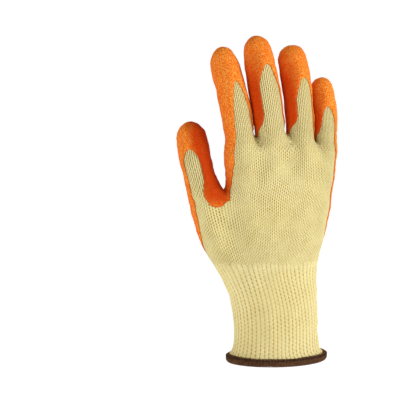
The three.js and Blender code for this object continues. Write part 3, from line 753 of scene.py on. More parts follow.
    def coat_field(self, net: QuadNet) -> np.ndarray:
        """Measures how far each point lies inside the coat.

        Args:
            net: The net.

        Returns:
            The distance from the coat's edge in mm, negative where the knit is bare.
        """
        field = np.full(len(net.points), BARE)
        corners = net.points[net.quads]
        for part in range(len(self.part_names)):
            faces = net.parts == part
            heights = corners[faces][:, :, 2]
            columns = net.marks[faces][:, :, 0]
            index = part - 2
            if index < 0:
                values = self._hand_coat(corners[faces], columns % self.columns)
            else:
                values = self._digit_coat(heights, columns, index)
            field[net.quads[faces].ravel()] = values.ravel()
        return field

    def _hand_coat(self, places: np.ndarray, columns: np.ndarray) -> np.ndarray:
        """Measures the distance from the coat's edge on cuff and hand.

        Args:
            places: The corners of the faces.
            columns: Their columns.

        Returns:
            The distance at each corner.
        """
        heights = places[:, :, 2]
        stops = [row[0] for row in COAT_EDGE]
        edges = [self.height(row[1]) for row in COAT_EDGE]
        step = self.edge_step
        width = self.palm_breadth / (self.right_middle - self.web_column)
        rise = np.interp(columns + step, stops, edges) - np.interp(columns - step, stops, edges)
        slope = rise / (2 * step * width)
        inside = (heights - np.interp(columns, stops, edges)) / np.hypot(1, slope)
        levels = [self.height(row[0]) for row in COAT_SIDE]
        side = np.interp(heights, levels, [row[1] * self.palm_breadth for row in COAT_SIDE])
        limited = (places[:, :, 1] <= 0) & (places[:, :, 0] <= 0) & (heights >= levels[0])
        return np.where(limited, np.minimum(inside, side - places[:, :, 0]), inside)

    def _digit_coat(self, heights: np.ndarray, columns: np.ndarray, index: int) -> np.ndarray:
        """Measures the distance from the edge of the bare window on a digit's back.

        Args:
            heights: The heights of the faces' corners.
            columns: Their columns.
            index: The digit's place among the rows.

        Returns:
            The distance at each corner.
        """
        row = self.rows[index]
        start, tip = self.ends(row)
        width = self.widths(row)[1]
        arc = np.pi / HALF_TURN * width / 2
        off = (columns - 1) * self.digit_turn - row.turn
        off = (off + HALF_TURN) % FULL_TURN - HALF_TURN
        webs = np.where(off < 0, *self.webs(index))
        roots = np.where(off < 0, *row.roots)
        reach = self.web_reach * width
        near = ((reach - heights + webs) / reach).clip(0, 1)
        near = near * near * (3 - 2 * near)
        half = row.opening + (roots - row.opening) * near ** 2
        share = (abs(off) / row.opening).clip(0, 1)
        below = start[2] + (tip[2] - start[2]) * row.apex - heights
        reached = row.bow * width
        steep = 2 * reached * share / (arc * row.opening)
        over = (reached * share * share - below) / np.hypot(1, steep)
        return np.maximum(over, (abs(off) - half) * arc)


class Ripples:
    """A smooth random height over space, the sum of seeded sine waves."""

    def __init__(self, wavelength: float, spread: float, count: int, seed: int) -> None:
        """Draws the waves.

        Args:
            wavelength: Middle length of a wave, in mm.
            spread: How far the lengths reach from it, as a share.
            count: Number of waves.
            seed: Seed of the draw.
        """
        draw = np.random.default_rng(seed)
        courses = draw.normal(size=(count, 3))
        courses /= np.linalg.norm(courses, axis=1)[:, None]
        lengths = wavelength * (1 + spread * draw.uniform(-1, 1, count))
        self.waves = courses * (2 * np.pi / lengths)[:, None]
        self.phases = draw.uniform(0, 2 * np.pi, count)
        self.scale = np.sqrt(2 / count)

    def at(self, points: np.ndarray) -> np.ndarray:
        """Returns the height at each point, about -1 to 1."""
        return np.sin(points @ self.waves.T + self.phases).sum(axis=1) * self.scale


UNEVENNESS = 0.22
RIPPLES = Ripples(wavelength=17.0, spread=0.4, count=14, seed=3)
CRINKLE = Ripples(wavelength=4.2, spread=0.35, count=26, seed=8)
SCALLOPS = Ripples(wavelength=3.4, spread=0.4, count=16, seed=5)


class MeshPiece:
    """A named mesh built from arrays in millimetres."""

    def __init__(self, name: str, points: np.ndarray, faces: list) -> None:
        """Makes the mesh and its object at the origin.

        Args:
            name: The piece's name.
            points: Its points, in mm.
            faces: Arrays of faces, each with one count of corners; the second is flat.
        """
        self.mesh = bpy.data.meshes.new(name)
        self.mesh.vertices.add(len(points))
        self.mesh.vertices.foreach_set("co", (points * MM).astype(np.float32).ravel())
        if faces:
            self._add_faces(faces)
        self.object = bpy.data.objects.new(name, self.mesh)
        bpy.context.scene.collection.objects.link(self.object)

    def _add_faces(self, faces: list) -> None:
        """Adds the faces.

        Args:
            faces: Their arrays; the first is shaded smooth.
        """
        counts = np.concatenate([np.full(len(part), part.shape[1]) for part in faces])
        corners = np.concatenate([part.ravel() for part in faces]).astype(np.int32)
        starts = np.concatenate([[0], np.cumsum(counts)[:-1]]).astype(np.int32)
        self.mesh.loops.add(len(corners))
        self.mesh.loops.foreach_set("vertex_index", corners)
        self.mesh.polygons.add(len(counts))
        self.mesh.polygons.foreach_set("loop_start", starts)
        self.mesh.update(calc_edges=True)
        self.mesh.polygons.foreach_set("use_smooth", np.arange(len(counts)) < len(faces[0]))

    def map(self, values: np.ndarray) -> "MeshPiece":
        """Gives the corners their places on the knit.

        Args:
            values: The wale and the course at each corner.

        Returns:
            The piece itself.
        """
        layer = self.mesh.uv_layers.new(name=STITCH_MAP)
        layer.uv.foreach_set("vector", values.astype(np.float32).ravel())
        return self

    def attribute(self, name: str, values: np.ndarray) -> "MeshPiece":
        """Gives the points a value each.

        Args:
            name: The attribute's name.
            values: A number or a direction for each point.

        Returns:
            The piece itself.
        """
        kind, field = ("FLOAT", "value") if values.ndim == 1 else ("FLOAT_VECTOR", "vector")
        layer = self.mesh.attributes.new(name, kind, "POINT")
        layer.data.foreach_set(field, values.astype(np.float32).ravel())
        return self


def rim_sides(faces: np.ndarray, count: int) -> np.ndarray:
    """Finds the sides of a patch that have a face on one side only.

    Args:
        faces: The patch's faces.
        count: Number of its points.

    Returns:
        The two points of each such side, in the order of its face.
    """
    sides = np.stack([faces, np.roll(faces, -1, axis=1)], axis=2).reshape(-1, 2)
    keys = np.minimum(sides[:, 0], sides[:, 1]) * count + sides.max(axis=1)
    _, first, uses = np.unique(keys, return_index=True, return_counts=True)
    return sides[first[uses == 1]]


def closed_wall(outer: np.ndarray, inner: np.ndarray, faces: np.ndarray) -> tuple:
    """Joins an outer and an inner copy of an open patch.

    Args:
        outer: The points of the outer copy.
        inner: The points of the inner copy, in the same order.
        faces: The patch's faces.

    Returns:
        The points, the faces of both copies, and the faces of the rim.
    """
    count = len(outer)
    rim = rim_sides(faces, count)
    band = np.stack([rim[:, 1], rim[:, 0], rim[:, 0] + count, rim[:, 1] + count], axis=1)
    both = np.concatenate([faces, faces[:, ::-1] + count])
    return np.concatenate([outer, inner]), both, band


def used_only(faces: np.ndarray, *values: np.ndarray) -> tuple:
    """Drops the points that no face uses, and counts the rest anew."""
    used, corners = np.unique(faces, return_inverse=True)
    return (corners.reshape(faces.shape), *(value[used] for value in values))


def clipped(faces: np.ndarray, values: np.ndarray, *fields: np.ndarray) -> tuple:
    """Cuts triangles along the line where a value is nought.

    Args:
        faces: The triangles.
        values: The value at each point; the positive side is kept.
        fields: Arrays by point, which are worked out for the new points too.

    Returns:
        The kept triangles, and the fields with the new points at their end.
    """
    inside = values[faces] > 0
    count = inside.sum(axis=1)
    one, two = faces[count == 1], faces[count == 2]
    one = np.take_along_axis(one, (inside[count == 1].argmax(1)[:, None] + range(3)) % 3, 1)
    out = (~inside[count == 2]).argmax(1)[:, None]
    two = np.take_along_axis(two, (out + range(3)) % 3, 1)
    pairs = np.concatenate([one[:, [0, 1]], one[:, [0, 2]], two[:, [0, 1]], two[:, [0, 2]]])
    pairs.sort(axis=1)
    crossing, place = np.unique(pairs, axis=0, return_inverse=True)
    place = place.ravel() + len(values)
    share = values[crossing[:, 0]] / (values[crossing[:, 0]] - values[crossing[:, 1]])
    a, b, c, d = np.split(place, np.cumsum([len(one), len(one), len(two)]))
    kept = [
        faces[count == 3],
        np.stack([one[:, 0], a, b], axis=1),
        np.stack([c, two[:, 1], two[:, 2]], axis=1),
        np.stack([c, two[:, 2], d], axis=1),
    ]
    grown = []
    for field in fields:
        weight = share if field.ndim == 1 else share[:, None]
        start, stop = field[crossing[:, 0]], field[crossing[:, 1]]
        grown.append(np.concatenate([field, start + (stop - start) * weight]))
    return (np.concatenate(kept), *grown)


class NodeSheet:
    """A node tree and the one method that adds a node to it."""

    def __init__(self, tree: bpy.types.NodeTree) -> None:
        """Wraps a tree."""
        self.tree = tree

    def add(self, kind: str, settings: dict | None = None, **inputs) -> bpy.types.Node:
        """Adds a node.

        Args:
            kind: The node's type.
            settings: The node's own values, which are set first.
            inputs: Values or links of its sockets, by name with _ for a space, or as
                i0, i1 and so on by place.

        Returns:
            The new node.
        """
        node = self.tree.nodes.new(kind)
        for name, value in (settings or {}).items():
            setattr(node, name, value)
        for name, value in inputs.items():
            if name[0] == "i" and name[1:].isdigit():
                socket = node.inputs[int(name[1:])]
            else:
                socket = node.inputs[name.replace("_", " ")]
            self.put(socket, value)
        return node

    def put(self, socket: bpy.types.NodeSocket, value: object) -> None:
        """Links a socket, or sets its value.

        Args:
            socket: The socket.
            value: What it gets: a wrapped or plain socket to link, or a constant.
        """
        if isinstance(value, Num):
            value = value.socket
        if isinstance(value, bpy.types.NodeSocket):
            self.tree.links.new(value, socket)
        else:
            socket.default_value = value

    def math(self, operation: str, *values: object) -> "Num":
        """Adds a Math node.

        Args:
            operation: Its operation.
            values: Its inputs, in order.

        Returns:
            Its wrapped result.
        """
        inputs = {f"i{place}": value for place, value in enumerate(values)}
        node = self.add("ShaderNodeMath", {"operation": operation}, **inputs)
        return Num(self, node.outputs[0])

    def attribute(self, name: str) -> "Num":
        """Reads one of the piece's own attributes."""
        node = self.add("ShaderNodeAttribute", {"attribute_name": name})
        return Num(self, node.outputs["Fac"])

    def ramp(self, value: object, low: float, high: float, to_low: float = 0.0,
             to_high: float = 1.0) -> "Num":
        """Turns a range of a value smoothly into another range.

        Args:
            value: The value.
            low: Where its range begins.
            high: Where its range ends.
            to_low: What it becomes at low and below.
            to_high: What it becomes at high and above.

        Returns:
            The wrapped result.
        """
        node = self.add("ShaderNodeMapRange", {"interpolation_type": "SMOOTHSTEP"},
                        i0=value, i1=low, i2=high, i3=to_low, i4=to_high)
        return Num(self, node.outputs[0])

    def mix(self, share: object, first: object, second: object) -> bpy.types.NodeSocket:
        """Mixes two colours."""
        node = self.add("ShaderNodeMix", {"data_type": "RGBA"}, i0=share, i6=first, i7=second)
        return node.outputs[2]

    def noise(self, place: object, scale: float, detail: float = 2.0,
              distortion: float = 0.0, roughness: float = 0.5) -> "Num":
        """Adds a noise over space.

        Args:
            place: The socket with the place, in metres.
            scale: How often the noise changes in a metre.
            detail: How many finer layers it has.
            distortion: How far they bend.
            roughness: How strong they are.

        Returns:
            Its wrapped factor.
        """
        node = self.add("ShaderNodeTexNoise", Vector=place, Scale=scale, Detail=detail,
                        Roughness=roughness, Distortion=distortion)
        return Num(self, node.outputs["Fac"])


class Num:
    """A socket whose maths is written as an expression."""

    def __init__(self, sheet: NodeSheet, socket: bpy.types.NodeSocket) -> None:
        """Wraps a socket of a sheet."""
        self.sheet = sheet
        self.socket = socket

    def __add__(self, other: object) -> "Num":
        """self + other."""
        return self.sheet.math("ADD", self, other)

    __radd__ = __add__

    def __sub__(self, other: object) -> "Num":
        """self - other."""
        return self.sheet.math("SUBTRACT", self, other)

    def __rsub__(self, other: object) -> "Num":
        """other - self."""
        return self.sheet.math("SUBTRACT", other, self)

    def __mul__(self, other: object) -> "Num":
        """self * other."""
        return self.sheet.math("MULTIPLY", self, other)

    __rmul__ = __mul__

    def __mod__(self, other: object) -> "Num":
        """self wrapped into 0 to other."""
        return self.sheet.math("FLOORED_MODULO", self, other)

    def __abs__(self) -> "Num":
        """The size of self."""
        return self.sheet.math("ABSOLUTE", self)

    def floor(self) -> "Num":
        """The whole number below self."""
        return self.sheet.math("FLOOR", self)


@dataclass(frozen=True)
class Finish:
    """A finish that makes its material once."""

    name: str = "plain"
    relief: float = 0.0
    roughness: float = 0.88
    specular: float = 0.2

    def material(self) -> bpy.types.Material:
        """Makes the material, or finds it.

        Returns:
            The finish's material.
        """
        found = bpy.data.materials.get(self.name)
        if found:
            return found
        material = bpy.data.materials.new(self.name)
        material.use_nodes = True
        material.node_tree.nodes.clear()
        sheet = NodeSheet(material.node_tree)
        shader = sheet.add("ShaderNodeBsdfPrincipled")
        output = sheet.add("ShaderNodeOutputMaterial")
        material.node_tree.links.new(shader.outputs[0], output.inputs[0])
        self.dress(sheet, shader)
        return material

    def dress(self, sheet: NodeSheet, shader: bpy.types.Node) -> None:
        """Links the shader; each finish has its own way."""
        raise NotImplementedError

    def place(self, sheet: NodeSheet) -> bpy.types.NodeSocket:
        """The object's own coordinates."""
        return sheet.add("ShaderNodeTexCoord").outputs["Object"]

    def paint(self, sheet: NodeSheet, shader: bpy.types.Node, colour: object, height: object,
              **others: object) -> None:
        """Links colour and relief to the shader, and sets its other sockets.

        Args:
            sheet: The material's nodes.
            shader: Its Principled BSDF.
            colour: The colour over the surface.
            height: The relief over the surface, 0 to 1.
            others: Further sockets, by name with _ for a space.
        """
        bump = sheet.add("ShaderNodeBump", Height=height, Distance=self.relief * MM,
                         Strength=1.0)
        others = {"Roughness": self.roughness, "Specular_IOR_Level": self.specular, **others}
        sheet.put(shader.inputs["Base Color"], colour)
        sheet.put(shader.inputs["Normal"], bump.outputs[0])
        for name, value in others.items():
            sheet.put(shader.inputs[name.replace("_", " ")], value)


@dataclass(frozen=True)
class YarnFinish(Finish):
    """What the plain knit and the ribs share: soft, matt yarn, painted shade in the gaps, painted
    highlights.
    """

    sheen: float = 0.08
    sheen_roughness: float = 0.6
    tone_scale: float = 900.0
    broad_scale: float = 24.0
    broad_range: tuple = (0.35, 0.65)
    fade_share: float = 0.1

    def stitch(self, sheet: NodeSheet) -> tuple[Num, Num]:
        """Reads the piece's places on the knit.

        Args:
            sheet: The material's nodes.

        Returns:
            The place across the wales, and the place along them.
        """
        layer = sheet.add("ShaderNodeUVMap", {"uv_map": STITCH_MAP})
        parts = sheet.add("ShaderNodeSeparateXYZ", i0=layer.outputs[0])
        return Num(sheet, parts.outputs[0]), Num(sheet, parts.outputs[1])

    def tones(self, sheet: NodeSheet, place: bpy.types.NodeSocket) -> tuple[Num, Num]:
        """The fuzz of the yarn, and its broad light and dark areas."""
        broad = sheet.noise(place, self.broad_scale)
        return sheet.noise(place, self.tone_scale, detail=3.0), sheet.ramp(broad, *self.broad_range)

    def strength(self, sheet: NodeSheet) -> Num:
        """How strong the painted shade in the gaps is, a little weaker where knit and ribs meet."""
        return sheet.attribute(FADE_ATTRIBUTE) * self.fade_share + (1 - self.fade_share)

    def weave(self, sheet: NodeSheet, shader: bpy.types.Node, colour: object,
              height: object) -> None:
        """Paints the yarn, with its sheen.

        Args:
            sheet: The material's nodes.
            shader: Its Principled BSDF.
            colour: The colour over the surface.
            height: The relief over the surface, 0 to 1.
        """
        self.paint(sheet, shader, colour, height, Sheen_Weight=self.sheen,
                   Sheen_Roughness=self.sheen_roughness)


@dataclass(frozen=True)
class KnitFinish(YarnFinish):
    """Pale yellow plaited knit; the small tan gaps between its wales are painted shade."""

    name: str = "pale_yellow_knit"
    yarn: tuple = (0.73, 0.61, 0.235, 1)
    # The pale colour is a painted highlight on the strands, and also a random broad tone.
    highlight_and_pale_tone: tuple = (0.92, 0.84, 0.49, 1)
    # The two tans are painted shade in the grooves and stitch holes; the darker one is for the
    # digits.
    gap_shade: tuple = (0.30, 0.16, 0.009, 1)
    deep_hole_shade: tuple = (0.20, 0.09, 0.003, 1)
    relief: float = 0.5
    wobble_scale: float = 260.0
    wobble: float = 0.4
    groove: tuple = (0.42, 0.8)
    dash: tuple = (0.16, 0.38, 1.0, 0.0)
    digit_dash: float = 0.6
    patch_scale: float = 75.0
    patches: tuple = (0.38, 0.62, 0.45, 1.0)
    digit_patches: float = 0.9
    leg_slant: float = 0.55
    strand: tuple = (0.1, 0.5, 1.0, 0.0)
    painted_shine: tuple = (0.35, 0.65)
    painted_shine_share: float = 0.9
    broad_share: float = 0.1
    groove_shade: float = 0.08
    digit_hole_shade_share: float = 0.8
    base_height: float = 0.25
    wale_height: float = 0.45
    strand_height: float = 0.25
    gap_sink: float = 0.35
    fuzz_height: float = 0.1

    def dress(self, sheet: NodeSheet, shader: bpy.types.Node) -> None:
        """Links the shader to the stitches.

        Args:
            sheet: The material's nodes.
            shader: Its Principled BSDF.
        """
        place = self.place(sheet)
        across, along = self.stitch(sheet)
        digit = sheet.attribute(DIGIT_ATTRIBUTE)
        wobble = sheet.noise(place, self.wobble_scale) * self.wobble - self.wobble / 2
        across = across + wobble
        from_middle = abs(across % 1.0 - 0.5) * 2
        groove = sheet.ramp(from_middle, *self.groove)
        side = (across + 0.5).floor() % 2.0
        gap_phase = (along * 0.5 + side * 0.5 + wobble) % 1.0
        dash = sheet.ramp(abs(gap_phase - 0.5), *self.dash)
        dash = dash * (1 - digit * self.digit_dash) + digit * self.digit_dash
        patches = sheet.ramp(sheet.noise(place, self.patch_scale, detail=3.0), *self.patches)
        patches = patches * (1 - digit) + digit * self.digit_patches
        gaps = groove * dash * patches
        leg = (along + from_middle * self.leg_slant) % 1.0
        strand = sheet.ramp(abs(leg - 0.5), *self.strand)
        tone, broad = self.tones(sheet, place)
        # Painted highlights on the yarn's strands, away from the grooves.
        painted_shine = strand * (1 - groove) * sheet.ramp(tone, *self.painted_shine)
        light = painted_shine * self.painted_shine_share + broad * self.broad_share
        colour = sheet.mix(light, self.yarn, self.highlight_and_pale_tone)
        # Painted shade in the grooves and stitch holes, darker on the digits.
        gap_shade = sheet.mix(digit * self.digit_hole_shade_share, self.gap_shade, self.deep_hole_shade)
        recess_shade = groove * self.groove_shade + gaps * (1 - self.groove_shade)
        colour = sheet.mix(recess_shade * self.strength(sheet), colour, gap_shade)
        height = self.base_height + (1 - groove) * self.wale_height
        height = height + strand * self.strand_height - gaps * self.gap_sink
        self.weave(sheet, shader, colour, height + tone * self.fuzz_height)


@dataclass(frozen=True)
class RibFinish(YarnFinish):
    """The same yarn in the cuff's ribs, with painted tan shade in the grooves and darker painted
    dots.
    """

    name: str = "pale_yellow_rib"
    yarn: tuple = (0.69, 0.58, 0.245, 1)
    # The pale colour is a painted highlight on the strands, and also a random broad tone.
    highlight_and_pale_tone: tuple = (0.86, 0.79, 0.46, 1)
    # The tan is painted shade in the grooves, the dots and the line down each rib.
    gap_shade: tuple = (0.43, 0.235, 0.02, 1)
    relief: float = 0.3
    dot_pitch: float = 3.1
    stitch_pitch: float = 1.55
    wobble_scale: float = 300.0
    wobble: float = 0.4
    slant: float = 0.12
    slant_start: float = 0.11
    groove: tuple = (0.5, 0.98)
    seam: tuple = (0.0, 0.2, 1.0, 0.0)
    dot: tuple = (0.15, 0.42, 1.0, 0.0)
    patch_scale: float = 60.0
    patches: tuple = (0.35, 0.62, 0.45, 1.0)
    leg_slant: float = 0.9
    strand: tuple = (0.12, 0.5, 1.0, 0.0)
    painted_shine: tuple = (0.35, 0.7)
    groove_shade: float = 0.16
    dot_shade: float = 0.8
    seam_shade: float = 0.35
    painted_shine_share: float = 0.7
    broad_share: float = 0.15
    rib_height: float = 0.4
    strand_height: float = 0.3
    fuzz_height: float = 0.12
    seam_sink: float = 0.2
    dot_sink: float = 0.3
    wobble_share: float = 0.25

    def dress(self, sheet: NodeSheet, shader: bpy.types.Node) -> None:
        """Links the shader to the ribs.

        Args:
            sheet: The material's nodes.
            shader: Its Principled BSDF.
        """
        place = self.place(sheet)
        across, along = self.stitch(sheet)
        wobble = sheet.noise(place, self.wobble_scale) * self.wobble
        step = (along * (1 / self.dot_pitch)) % 1.0
        phase = across + wobble * self.wobble_share + step * self.slant - self.slant_start
        phase = phase % 1.0
        from_middle = abs(phase - 0.5) * 2
        groove = sheet.ramp(from_middle, *self.groove)
        seam = sheet.ramp(from_middle, *self.seam)
        side = (across + 0.5).floor() % 2.0
        dots = (along * (1 / self.dot_pitch) + side * 0.5 + wobble) % 1.0
        dot = sheet.ramp(abs(dots - 0.5), *self.dot)
        patches = sheet.ramp(sheet.noise(place, self.patch_scale, detail=3.0), *self.patches)
        leg = (along * (1 / self.stitch_pitch) + abs(from_middle - 0.5) * self.leg_slant) % 1.0
        strand = sheet.ramp(abs(leg - 0.5), *self.strand)
        tone, broad = self.tones(sheet, place)
        # Painted highlights on the yarn's strands, away from the grooves.
        painted_shine = strand * (1 - groove) * sheet.ramp(tone, *self.painted_shine)
        light = painted_shine * self.painted_shine_share + broad * self.broad_share
        colour = sheet.mix(light, self.yarn, self.highlight_and_pale_tone)
        # Painted shade: tan in the grooves, darker at the dots, fainter along the line down each
        # rib.
        recess_shade = groove * (self.groove_shade + dot * patches * self.dot_shade)
        recess_shade = recess_shade + seam * (1 - dot) * patches * self.seam_shade
        colour = sheet.mix(recess_shade * self.strength(sheet), colour, self.gap_shade)
        height = (1 - groove) * self.rib_height + strand * self.strand_height
        height = height + tone * self.fuzz_height - seam * self.seam_sink
        self.weave(sheet, shader, colour, height - groove * dot * self.dot_sink)


@dataclass(frozen=True)
class LatexFinish(Finish):
    """Orange latex with a fine crinkle and a satin gloss, and painted shade between the digits."""

    name: str = "orange_latex"
    body: tuple = (0.87, 0.235, 0.018, 1)
    # The darker colour is painted shade in the crinkle's pits and also a random cloudy tone; the
    # crest colour is a painted highlight on the crinkle's tops.
    pit_shade_and_cloud: tuple = (0.76, 0.09, 0.002, 1)
    crest: tuple = (0.96, 0.43, 0.095, 1)
    # The deep red is painted shade, laid on where the coat faces another digit, in the thumb's web
    # and on left-turned sides.
    deep: tuple = (0.50, 0.026, 0.0001, 1)
    # The dark brown is a painted shadow line along the coat's edge.
    rim: tuple = (0.34, 0.09, 0.015, 1)
    relief: float = 0.42
    specular: float = 0.02
    fine_scale: float = 1150.0
    coarse_scale: float = 520.0
    broad_scale: float = 45.0
    fine_share: float = 0.82
    fine_bend: float = 0.5
    coarse_bend: float = 0.6
    low: tuple = (0.42, 0.5, 1.0, 0.0)
    high: tuple = (0.5, 0.58)
    pit_shade_share: float = 0.75
    crest_highlight_share: float = 0.7
    cloud: tuple = (0.4, 0.7, 0.0, 0.2)
    edge_shadow_fade: tuple = (0.0, 0.35, 0.55, 0.0)
    gloss: tuple = (0.3, 0.7, 0.66, 0.5)

    def dress(self, sheet: NodeSheet, shader: bpy.types.Node) -> None:
        """Links the shader to the crinkle.

        Args:
            sheet: The material's nodes.
            shader: Its Principled BSDF.
        """
        place = self.place(sheet)
        fine = sheet.noise(place, self.fine_scale, distortion=self.fine_bend)
        coarse = sheet.noise(place, self.coarse_scale, distortion=self.coarse_bend)
        broad = sheet.noise(place, self.broad_scale)
        grain = fine * self.fine_share + coarse * (1 - self.fine_share)
        # Painted shade in the crinkle's pits and painted highlights on its crests, from the same
        # grain that makes the bump.
        colour = sheet.mix(sheet.ramp(grain, *self.low) * self.pit_shade_share, self.body,
                           self.pit_shade_and_cloud)
        colour = sheet.mix(sheet.ramp(grain, *self.high) * self.crest_highlight_share, colour, self.crest)
        # Random broad clouds of the darker tone.
        colour = sheet.mix(sheet.ramp(broad, *self.cloud), colour, self.pit_shade_and_cloud)
        # Painted shade between the digits, in the thumb's web and on left-turned sides.
        colour = sheet.mix(sheet.attribute(PAINTED_SHADE_ATTRIBUTE), colour, self.deep)
        # A thin painted shadow line along the coat's edge.
        near = sheet.ramp(sheet.attribute(EDGE_ATTRIBUTE), *self.edge_shadow_fade)
        colour = sheet.mix(near, colour, self.rim)
        self.paint(sheet, shader, colour, grain, Roughness=sheet.ramp(grain, *self.gloss))


@dataclass(frozen=True)
class ThreadFinish(Finish):
    """Brown overlock thread."""

    name: str = "brown_thread"
    body: tuple = (0.075, 0.030, 0.010, 1)
    light: tuple = (0.16, 0.072, 0.030, 1)
    relief: float = 0.12
    roughness: float = 0.85
    strand_scale: float = 1500.0
    tone_scale: float = 260.0
    strand_share: float = 0.6
    lit: tuple = (0.42, 0.64)

    def dress(self, sheet: NodeSheet, shader: bpy.types.Node) -> None:
        """Links the shader to the thread's strands.

        Args:
            sheet: The material's nodes.
            shader: Its Principled BSDF.
        """
        place = self.place(sheet)
        strands = sheet.noise(place, self.strand_scale, detail=3.0)
        tone = sheet.noise(place, self.tone_scale)
        both = strands * self.strand_share + tone * (1 - self.strand_share)
        colour = sheet.mix(sheet.ramp(both, *self.lit), self.body, self.light)
        self.paint(sheet, shader, colour, strands)


@dataclass(frozen=True)
class ShadowCoreFinish(ThreadFinish):
    """The near-black core that shows between the threads: painted shade; the bites wear it too, as
    shade in their stitch holes.
    """

    name: str = "brown_core"
    body: tuple = (0.022, 0.009, 0.004, 1)
    light: tuple = (0.045, 0.019, 0.008, 1)


@dataclass(frozen=True)
class FloorFinish(Finish):
    """A plain pale floor."""

    name: str = "pale_floor"
    body: tuple = (0.96, 0.96, 0.96, 1)
    speck: tuple = (0.93, 0.93, 0.93, 1)
    roughness: float = 0.9
    grain_scale: float = 3.0
    grain_share: float = 0.05
    glow: float = 0.45

    def dress(self, sheet: NodeSheet, shader: bpy.types.Node) -> None:
        """Sets the floor's tone, with a faint grain.

        Args:
            sheet: The material's nodes.
            shader: Its Principled BSDF.
        """
        grain = sheet.noise(self.place(sheet), self.grain_scale) * self.grain_share
        sheet.put(shader.inputs["Base Color"], sheet.mix(grain, self.body, self.speck))
        shader.inputs["Roughness"].default_value = self.roughness
        shader.inputs["Emission Color"].default_value = (1, 1, 1, 1)
        shader.inputs["Emission Strength"].default_value = self.glow


def finished(piece: MeshPiece, finish: Finish, slot: Slot, *nodes: str) -> bpy.types.Object:
    """Gives a piece its material, its body and the solids that it stands for.

    Args:
        piece: The piece.
        finish: Its finish.
        slot: Its material slot; not used.
        nodes: The names of the solids.

    Returns:
        The piece's object.
    """
    thing = piece.object
    thing.data.materials.append(finish.material())
    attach(thing, "root")
    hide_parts(*nodes)
    log.info("%s: %d faces", thing.name, len(thing.data.polygons))
    return thing


@dataclass
class KnitSkin:
    """The knitted hand and digits, one seamless wall."""

    form: GloveForm
    rounds: int = 3
    wall: float = 1.5
    hand_wales: float = 7.0
    digit_wales: float = 5.6
    hand_course: float = 1.15
    finger_course: float = 1.6
    thumb_course: float = 2.3
    spread: float = 16.0

    def stitches(self, net: QuadNet) -> np.ndarray:
        """Counts wales and courses at the corners of a net.

        Args:
            net: The net.

        Returns:
            The wale and the course at each corner.
        """
        heights = net.points[net.quads][:, :, 2]
        columns = net.marks[:, :, 0]
        wales = columns * self.hand_wales
        courses = heights / self.hand_course
        for index, row in enumerate(self.form.rows):
            mask = net.parts == index + 2
            start = self.form.ends(row)[0][2]
            thumb = row.name == THUMB.name
            middle = 2 if thumb else self.form.web_column + 1 + 2 * index
            above = heights[mask] - start
            share = (above / self.spread).clip(0, 1)
            density = self.hand_wales + (self.digit_wales - self.hand_wales) * share
            wales[mask] = middle * self.hand_wales + density * (columns[mask] - 1)
            course = self.thumb_course if thumb else self.finger_course
            courses[mask] = start / self.hand_course + above / course
        return np.stack([wales, courses], axis=2)

    def build(self) -> bpy.types.Object:
        """Builds and dresses the skin.

        Returns:
            Its object.
        """
        net, normals = self.form.surface(self.rounds)
        keep = self.form.above(net, RIB_TOP - OVERLAP)
        stitches = self.stitches(net)[keep]
        low = net.parts < 2
        rows = np.full(len(net.points), RIB_TOP)
        rows[net.quads[low].ravel()] = net.marks[low][:, :, 1].ravel()
        lift = UNEVENNESS * RIPPLES.at(net.points)
        lift -= TUCK * ((RIB_TOP - rows) / OVERLAP).clip(0, 1)
        outer = net.points + normals * lift[:, None]
        inner = net.points - normals * self.wall
        above = net.points[:, 2] - np.where(self.form.on_thumb(net), self.form.thumb_root,
                                            self.form.hand_top)
        digit = (above / self.spread).clip(0, 1)
        fade = (above / self.spread + self.form.hand_length / self.spread - 1).clip(0, 1)
        faces, outer, inner, digit, fade = used_only(
            net.quads[keep], outer, inner, digit, fade)
        points, both, rim = closed_wall(outer, inner, faces)
        flat = np.zeros((len(rim), 4, 2))
        uv = np.concatenate([stitches, stitches[:, ::-1], flat])
        piece = MeshPiece("knit_skin", points, [both, rim]).map(uv)
        piece.attribute(DIGIT_ATTRIBUTE, np.tile(digit, 2))
        piece.attribute(FADE_ATTRIBUTE, np.tile(fade, 2))
        digits = [f"knit_{row.name}_finger" for row in FINGERS]
        return finished(piece, KnitFinish(), Slot.KNIT, "knit_hand", "knit_thumb", *digits)


